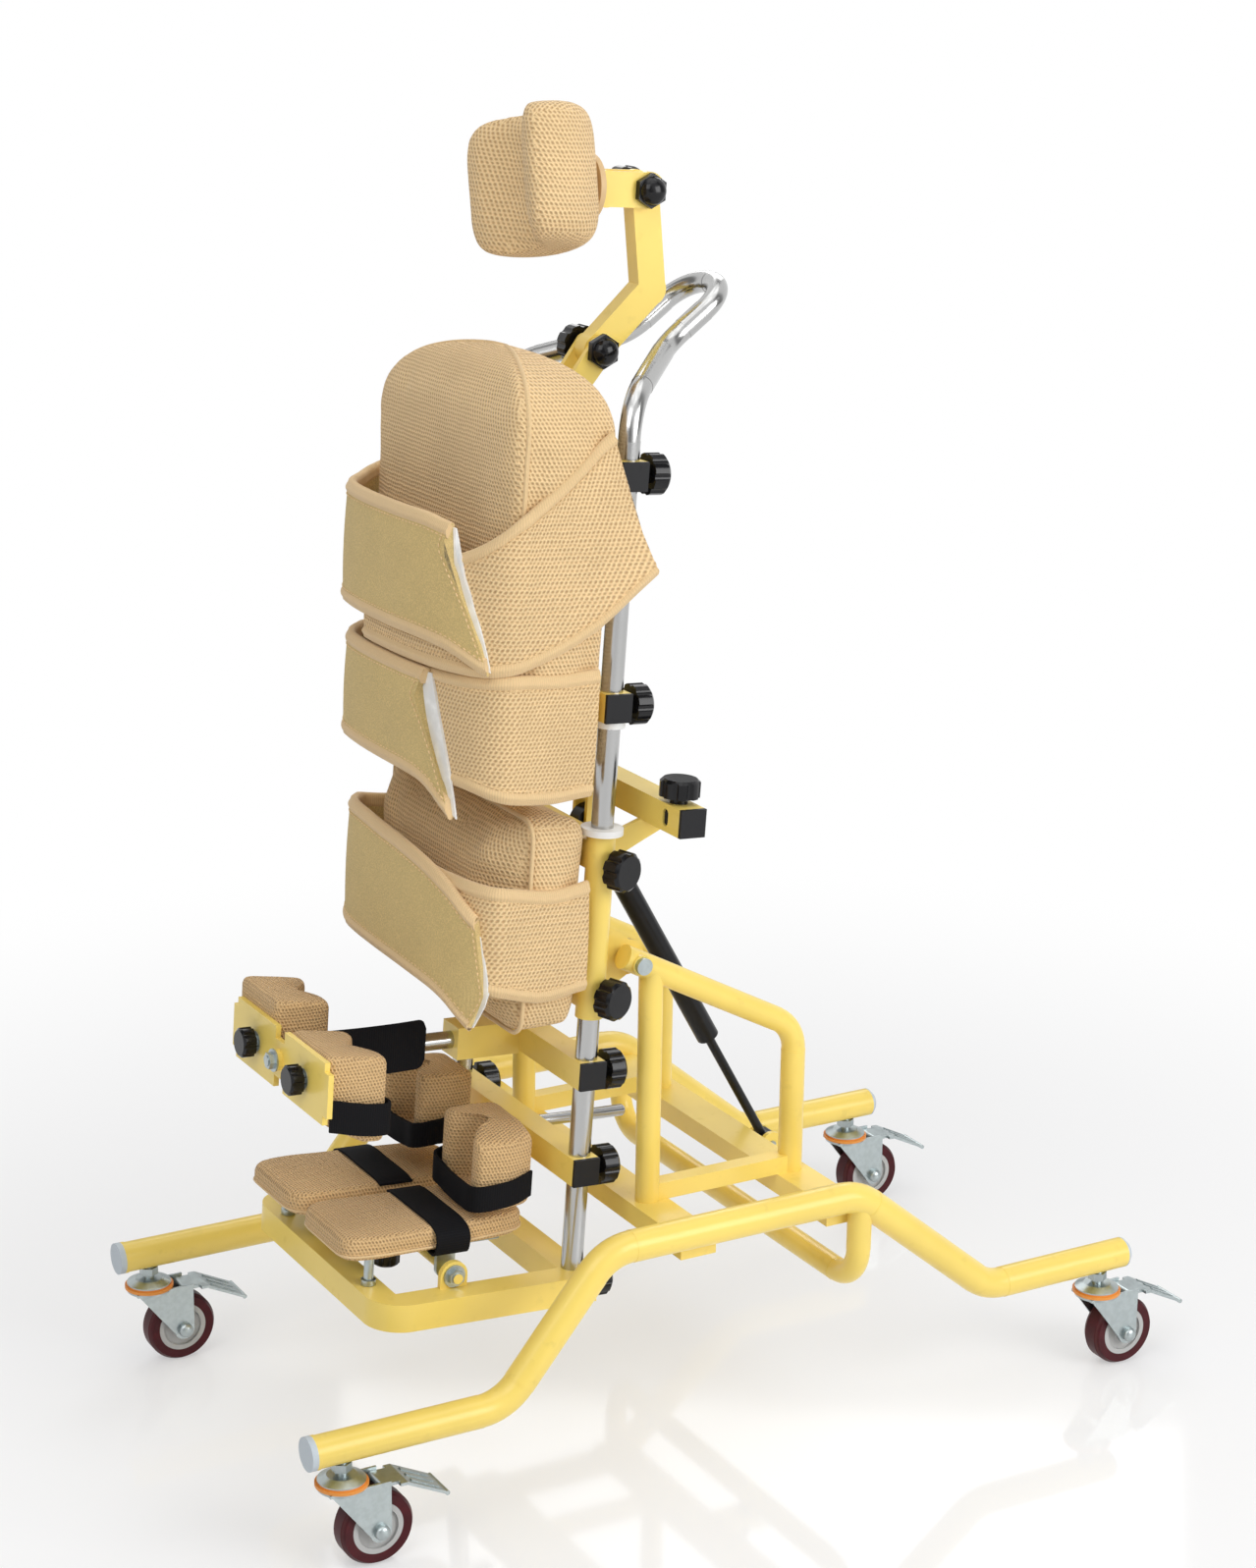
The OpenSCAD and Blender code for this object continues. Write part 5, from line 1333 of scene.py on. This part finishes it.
class STANDING_OT_knees(bpy.types.Operator):
    """Makes the knee pads and straps, and the knee plate's bolt head and washers."""

    bl_idname = "standing.knees"
    bl_label = "Knees"

    def execute(self, context):
        up = (0, 0, 1)
        for side, label, shift, lift in ((1, "left", -4, -3), (-1, "right", 12, 14)):
            mid = KNEE_X + shift
            plan = rounded_plan([(side * (mid + x), KNEE_Y + y) for x, y in KNEE_PLAN], 10)
            if side < 0:
                plan.reverse()
            verts, faces = block(plan, KNEE_Z - 50 + lift, KNEE_Z + 37 + lift, 7.0)
            slope = [0.4 if z < KNEE_Z - 20 + lift else 0 for x, y, z in verts]
            raised = [max(0.0, 44 - (p[1] - KNEE_Y)) * rise for p, rise in zip(verts, slope)]
            verts = [(x, y, z + more - 0.12 * (y - KNEE_Y)) for (x, y, z), more in zip(verts, raised)]
            made = plain("knee_pad_" + label, verts, faces)
            settle(made, "mesh_cloth_fine", "knee_plate", ["knee_cups"], sharp=SOFT_EDGE)
            route = [(side * (mid + x), KNEE_Y + y, KNEE_Z + lift + z) for x, y, z in KNEE_ROUTE]
            strap("knee_strap_" + label, "knee_plate", "knee_cups", smooth_path(route), up,
                  measure("knee_strap_w"), measure("strap_t"))
        tail = smooth_path([(x, KNEE_Y + y, KNEE_Z + z) for x, y, z in KNEE_TAIL])
        strap("knee_strap_tail", "knee_plate", "knee_cups", tail, up,
              measure("knee_tail_w"), measure("strap_t"), 9.0)
        face = KNEE_Y - 5.6
        bolts("knee_centre_bolt", [(0, face - 5.6, KNEE_Z)], (0, -1, 0), 17.0, 8.0, "knee_plate")
        washers = [(side * KNEE_X, face, KNEE_Z) for side in (-1, 1)]
        bolts("knee_knob_washers", washers, (0, -1, 0), 15.5, 3.0, "knee_plate")
        return {"FINISHED"}


class STANDING_OT_heels(bpy.types.Operator):
    """Makes the heel cups, their soles and straps, and the rod and plate that carry them."""

    bl_idname = "standing.heels"
    bl_label = "Heels"

    def execute(self, context):
        body = "heel_support"
        for side, label, lift in ((1, "left", 0), (-1, "right", 14)):
            mid = side * HEEL_X
            plan = rounded_plan([(mid + side * x, HEEL_Y + y) for x, y in HEEL_PLAN], 10)
            verts, faces = block(plan, CALF_Z - 41 + lift * 1.3, CALF_Z + 40 + lift, 8.0)
            out = [max(0.0, side * (x - mid) - 16) for x, y, z in verts]
            verts = [(x, y, z - (0.3 * far if z > CALF_Z else 0)) for (x, y, z), far in zip(verts, out)]
            made = plain("heel_cup_" + label, verts, faces)
            settle(made, "mesh_cloth_fine", body, [body], sharp=SOFT_EDGE)
            route = [(mid + side * x, HEEL_Y + y, CALF_Z + z + lift) for x, y, z in HEEL_ROUTE]
            strap("heel_strap_" + label, body, body, smooth_path(route, 70), (0, 0, 1),
                  measure("heel_strap_w"), measure("strap_t"))
            plan = [(mid + x, HEEL_Y + y) for x, y in rounded_plan(SOLE_PLAN, 8)]
            sole = plain("heel_sole_" + label, *block(plan, CALF_Z - 40 + lift, CALF_Z - 29 + lift, 2.0))
            settle(sole, "mesh_cloth_fine", body, [body], sharp=SOFT_EDGE)
        rod = turned(1, (0, HEEL_Y, CALF_Z), [(0, 6.16), (163, 6.16), (165.2, 4.6)], 24)
        settle(plain("heel_rod", *rod), "chrome_tube", body, [body])
        plate = box(-HEEL_X - 26, HEEL_X + 26, HEEL_Y, HEEL_Y + 4.4, CALF_Z - 14, CALF_Z + 14, 1.0)
        settle(plain("heel_plate", *plate), "powder_yellow", body, [body])
        return {"FINISHED"}


class STANDING_OT_feet(bpy.types.Operator):
    """Makes the foot pads, their plates, posts and toe straps, and the hinge nuts."""

    bl_idname = "standing.feet"
    bl_label = "Feet"

    def execute(self, context):
        top = PLATE_LOW + PLATE_T
        for side, label in SIDES:
            body = "footplate_" + label
            plan = rounded_plan([(side * x, y) for x, y in FOOT_PLAN], 26)
            made = plain("foot_pad_" + label, *block(plan, top + 2, top + 26, 8.0))
            settle(made, "mesh_cloth_fine", body, [body], sharp=SOFT_EDGE)
            seam = [(x + side * 0.2, y, top + 8.0) for x, y in plan]
            cord = plain("foot_piping_" + label, *tube(seam, 1.3, 6, True))
            settle(cord, "edge_binding", body)
            verts, faces = self.metal(top)
            made = plain("foot_metal_" + label, [(side * x, y, z) for x, y, z in verts], faces)
            settle(made, "zinc_plate", body, [body])
            path = smooth_path([(side * x, TOE_STRAP_Y, PLATE_LOW + rise) for x, rise in TOE_ROUTE], 60)
            strap("toe_strap_" + label, body, body, path, (0, 1, 0), measure("toe_strap_w"), TOE_STRAP_T)
            bolts("hinge_nut_" + label, [(side * HINGE_END, *HINGE)], (side, 0, 0), 17.0, 8.0, "lower")
        return {"FINISHED"}

    def metal(self, top):
        """The left footplate with its hinge cheeks and its stop post."""
        y, z = HINGE
        turns = np.linspace(math.pi, 2 * math.pi, 14)
        ring = [(y + HINGE_R * math.cos(t), z + HINGE_R * math.sin(t)) for t in turns]
        ring += [(y + HINGE_R, top + 2.5), (y - HINGE_R, top + 2.5)]
        parts = [box(20, 102, -338, -186, top - 1, top + 3, 1.0)]
        for inner in FOOT_CHEEKS:
            parts.append(loft([[(x, p, q) for p, q in ring] for x in (inner, inner + FOOT_CHEEK_T)]))
        foot = (*FOOT_POST, PLATE_LOW)
        parts.append(turned(2, foot, [(-25.6, 5.0), (PLATE_T + 2.5, 5.0)], 24))
        parts.append(turned(2, foot, [(-25.6, 7.4), (-20, 7.4), (-19, 5.2)], 24))
        return join(parts)


class STANDING_OT_finishes(bpy.types.Operator):
    """Gives every carried-over solid its finish, and adds the slots' inserts and the casters' domed nuts."""

    bl_idname = "standing.finishes"
    bl_label = "Finishes"

    def execute(self, context):
        tint = colours()
        black = shade(tint.black, CAP_LIFT)
        self.paint(("push_handle", "lower_tubes", "knee_arm"), shared("chrome_tube"))
        yellow = ("cross_tubes", "side_frames", "head_lower_arm", "knee_plate", "foot_frame")
        self.paint(yellow, shared("powder_yellow"))
        plate = lambda p: leaned_y(p) < HEAD_PLATE_Y
        self.paint(["head_upper_arm"], finish("powder_head_arm", powder, plate, shade(tint.cloth, 0.8)))
        capped = bar_cap_mask(BAR_CAP_X)
        self.paint(("back_bar", "thigh_bar", "calf_bar"), finish("powder_bar", powder, capped, black))
        hip_collar = lambda p: leaned_z(p) < HIP_COLLAR_Z
        self.paint(["hip_bar"], finish("powder_hip_bar", powder, capped, black, hip_collar, tint.collar))
        self.paint(["lift_bar"], finish("powder_lift_bar", powder, bar_cap_mask(LIFT_CAP_X), black))
        collar = lambda p: leaned_z(p) > SLEEVE_COLLAR_Z
        self.paint(["pivot_frame"], finish("powder_sleeve", powder, collar, tint.collar))
        ends = lambda p: (p.axes(p.place())[1] - LEG_MID_Y).math("ABSOLUTE") > LEG_CAP_AWAY
        self.paint(["legs"], finish("powder_leg", powder, ends, tint.cap))
        self.paint(["base_fasteners"], shared("zinc_plate"))
        for side, label in SIDES:
            insert = box(side * 160.55 - 4.7, side * 160.55 + 4.7, -65.3, -38.5, 653.6, 670.2, 2.5)
            settle(plain("lift_slot_" + label, *insert), "cap_black", "tilt")
        ring = lambda p: (p.axes(p.place())[2] - RING_Z).math("ABSOLUTE") < RING_HALF
        for corner in CORNERS:
            self.paint(["fork_" + corner], finish("zinc_fork", zinc, ring, tint.ring))
            self.paint(["pedal_" + corner], shared("zinc_plate"))
            axle = JOINTS["roll_" + corner]["pos_m"]
            self.paint(["wheel_" + corner], finish("tyre_" + corner, tyre, axle[1], axle[2]))
            self.axle_domes(corner, [place / MM for place in axle])
        self.paint(("gas_cylinder", "gas_rod"), shared("strut_black"))
        self.paint([name for name in NODES if "knob" in name], shared("knob_black"))
        return {"FINISHED"}

    def axle_domes(self, corner, axle):
        """The domed nuts on both ends of a caster's axle bolt."""
        arc = [(21.2 + 4.6 * math.sin(t), 7.6 * math.cos(t)) for t in np.linspace(0, 1.5, 9)]
        parts = [turned(0, axle, [(side * along, radius) for along, radius in arc], 24) for side in (-1, 1)]
        verts, faces = join(parts)
        made = plain("axle_domes_" + corner, unlean(np.asarray(verts) * MM), faces)
        settle(made, "zinc_plate", "fork_" + corner)

    def paint(self, names, material):
        """Gives solids one finish."""
        for name in names:
            slots = NODES[name].data.materials
            slots.clear()
            slots.append(material)


class STANDING_OT_stage(bpy.types.Operator):
    """Sets the floor, the soft lights and the camera of the photograph."""

    bl_idname = "standing.stage"
    bl_label = "Stage"

    def execute(self, context):
        scene = context.scene
        scene.view_settings.view_transform = "Standard"
        self.camera(scene)
        self.floor(scene)
        self.world(scene)
        for lamp in LAMPS:
            self.lamp(scene, *lamp)
        return {"FINISHED"}

    def camera(self, scene):
        """The camera at the photograph's viewing angle."""
        data = bpy.data.cameras.new("photo_camera")
        data.sensor_width = SENSOR_MM
        data.lens = FOCAL_PX * SENSOR_MM / PHOTO_H
        right = Vector(CAMERA_RIGHT)
        up = Vector(CAMERA_UP)
        back = right.cross(up)
        turn = Matrix((right, up, back)).transposed()
        made = bpy.data.objects.new("photo_camera", data)
        made.matrix_world = Matrix.Translation(Vector(CAMERA_AT)) @ turn.to_4x4()
        scene.collection.objects.link(made)
        scene.camera = made

    def floor(self, scene):
        """A wide white floor."""
        mesh = bpy.data.meshes.new("studio_floor")
        corners = [(x * FLOOR_REACH, y * FLOOR_REACH, 0) for x, y in ((-1, -1), (1, -1), (1, 1), (-1, 1))]
        mesh.from_pydata(corners, [], [(0, 1, 2, 3)])
        made = bpy.data.objects.new("studio_floor", mesh)
        scene.collection.objects.link(made)
        mesh.materials.append(finish("floor_white", floor_white))

    def world(self, scene):
        """White to the camera, white with a few grey bands to shiny metal, and a dim fill to the rest."""
        studio = Paint("studio_world", True)
        x, y, z = studio.axes(studio.node("ShaderNodeTexCoord", out="Generated"))
        turn = y.math("ARCTAN2", x)
        bands = ((turn * 4.0 + z * 2.0).math("SINE") * 0.5 + 0.5).step(0.1, 0.6)
        seen, shine = rays(studio)
        strength = seen + shine * (bands * 0.75 + 0.25) + (1 - seen - shine) * 0.36
        studio.feed(studio.shader.inputs["Strength"], strength)
        studio.feed(studio.shader.inputs["Color"], (1, 1, 1, 1))
        scene.world = studio.material

    def lamp(self, scene, name, place, target, side, power):
        """A square soft lamp that faces a target."""
        data = bpy.data.lights.new(name, "AREA")
        data.size = side
        data.energy = power
        made = bpy.data.objects.new(name, data)
        aim = Vector(target) - Vector(place)
        made.rotation_euler = aim.to_track_quat("-Z", "Y").to_euler()
        made.location = place
        scene.collection.objects.link(made)


def rays(paint):
    """Whether a ray comes from the camera, and whether it comes off or through something shiny."""
    path = paint.node("ShaderNodeLightPath", out="Is Camera Ray")
    glossy = Wire(paint, path.socket.node.outputs["Is Glossy Ray"])
    through = Wire(paint, path.socket.node.outputs["Is Transmission Ray"])
    return path, glossy.math("MAXIMUM", through)


def floor_white(paint):
    """White polished floor that keeps shadows and faint reflections, and fades to plain white further out."""
    x, y = paint.axes(paint.place())[:2]
    away = (x * x + y * y).math("SQRT")
    plain_white = paint.node("ShaderNodeEmission", {}, {"Strength": 1.0, "Color": (1, 1, 1, 1)})
    paint.coat(base_color=(0.92, 0.92, 0.93), roughness=0.07)
    seen, shine = rays(paint)
    share = seen.math("MAXIMUM", shine) * (away.step(*FLOOR_FADE) * (1 - FLOOR_LEAST) + FLOOR_LEAST)
    polished = Wire(paint, paint.shader.outputs[0])
    blend = paint.node("ShaderNodeMixShader", {}, {0: share, 1: polished, 2: plain_white})
    paint.feed(paint.tree.nodes["Material Output"].inputs["Surface"], blend)
    return paint.material


class STANDING_PT_looks(bpy.types.Panel):
    """Lists the steps in the sidebar."""

    bl_idname = "STANDING_PT_looks"
    bl_label = "Standing Frame"
    bl_space_type = "VIEW_3D"
    bl_region_type = "UI"
    bl_category = "Standing Frame"

    def draw(self, context):
        for step in STEPS:
            self.layout.operator(step.bl_idname)


STEPS = (STANDING_OT_stage, STANDING_OT_finishes, STANDING_OT_pads, STANDING_OT_belts, STANDING_OT_knees,
         STANDING_OT_heels, STANDING_OT_feet)
CLASSES = (FrameSizes, FrameColours) + STEPS + (STANDING_PT_looks,)


def register():
    for kind in CLASSES:
        bpy.utils.register_class(kind)
    bpy.types.Scene.standing_sizes = bpy.props.PointerProperty(type=FrameSizes)
    bpy.types.Scene.standing_colours = bpy.props.PointerProperty(type=FrameColours)


def unregister():
    del bpy.types.Scene.standing_colours
    del bpy.types.Scene.standing_sizes
    for kind in reversed(CLASSES):
        bpy.utils.unregister_class(kind)


def main():
    """Registers the add-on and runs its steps."""
    register()
    for step in STEPS:
        group, name = step.bl_idname.split(".")
        getattr(getattr(bpy.ops, group), name)()
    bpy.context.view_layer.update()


if __name__ == "__main__":
    main()
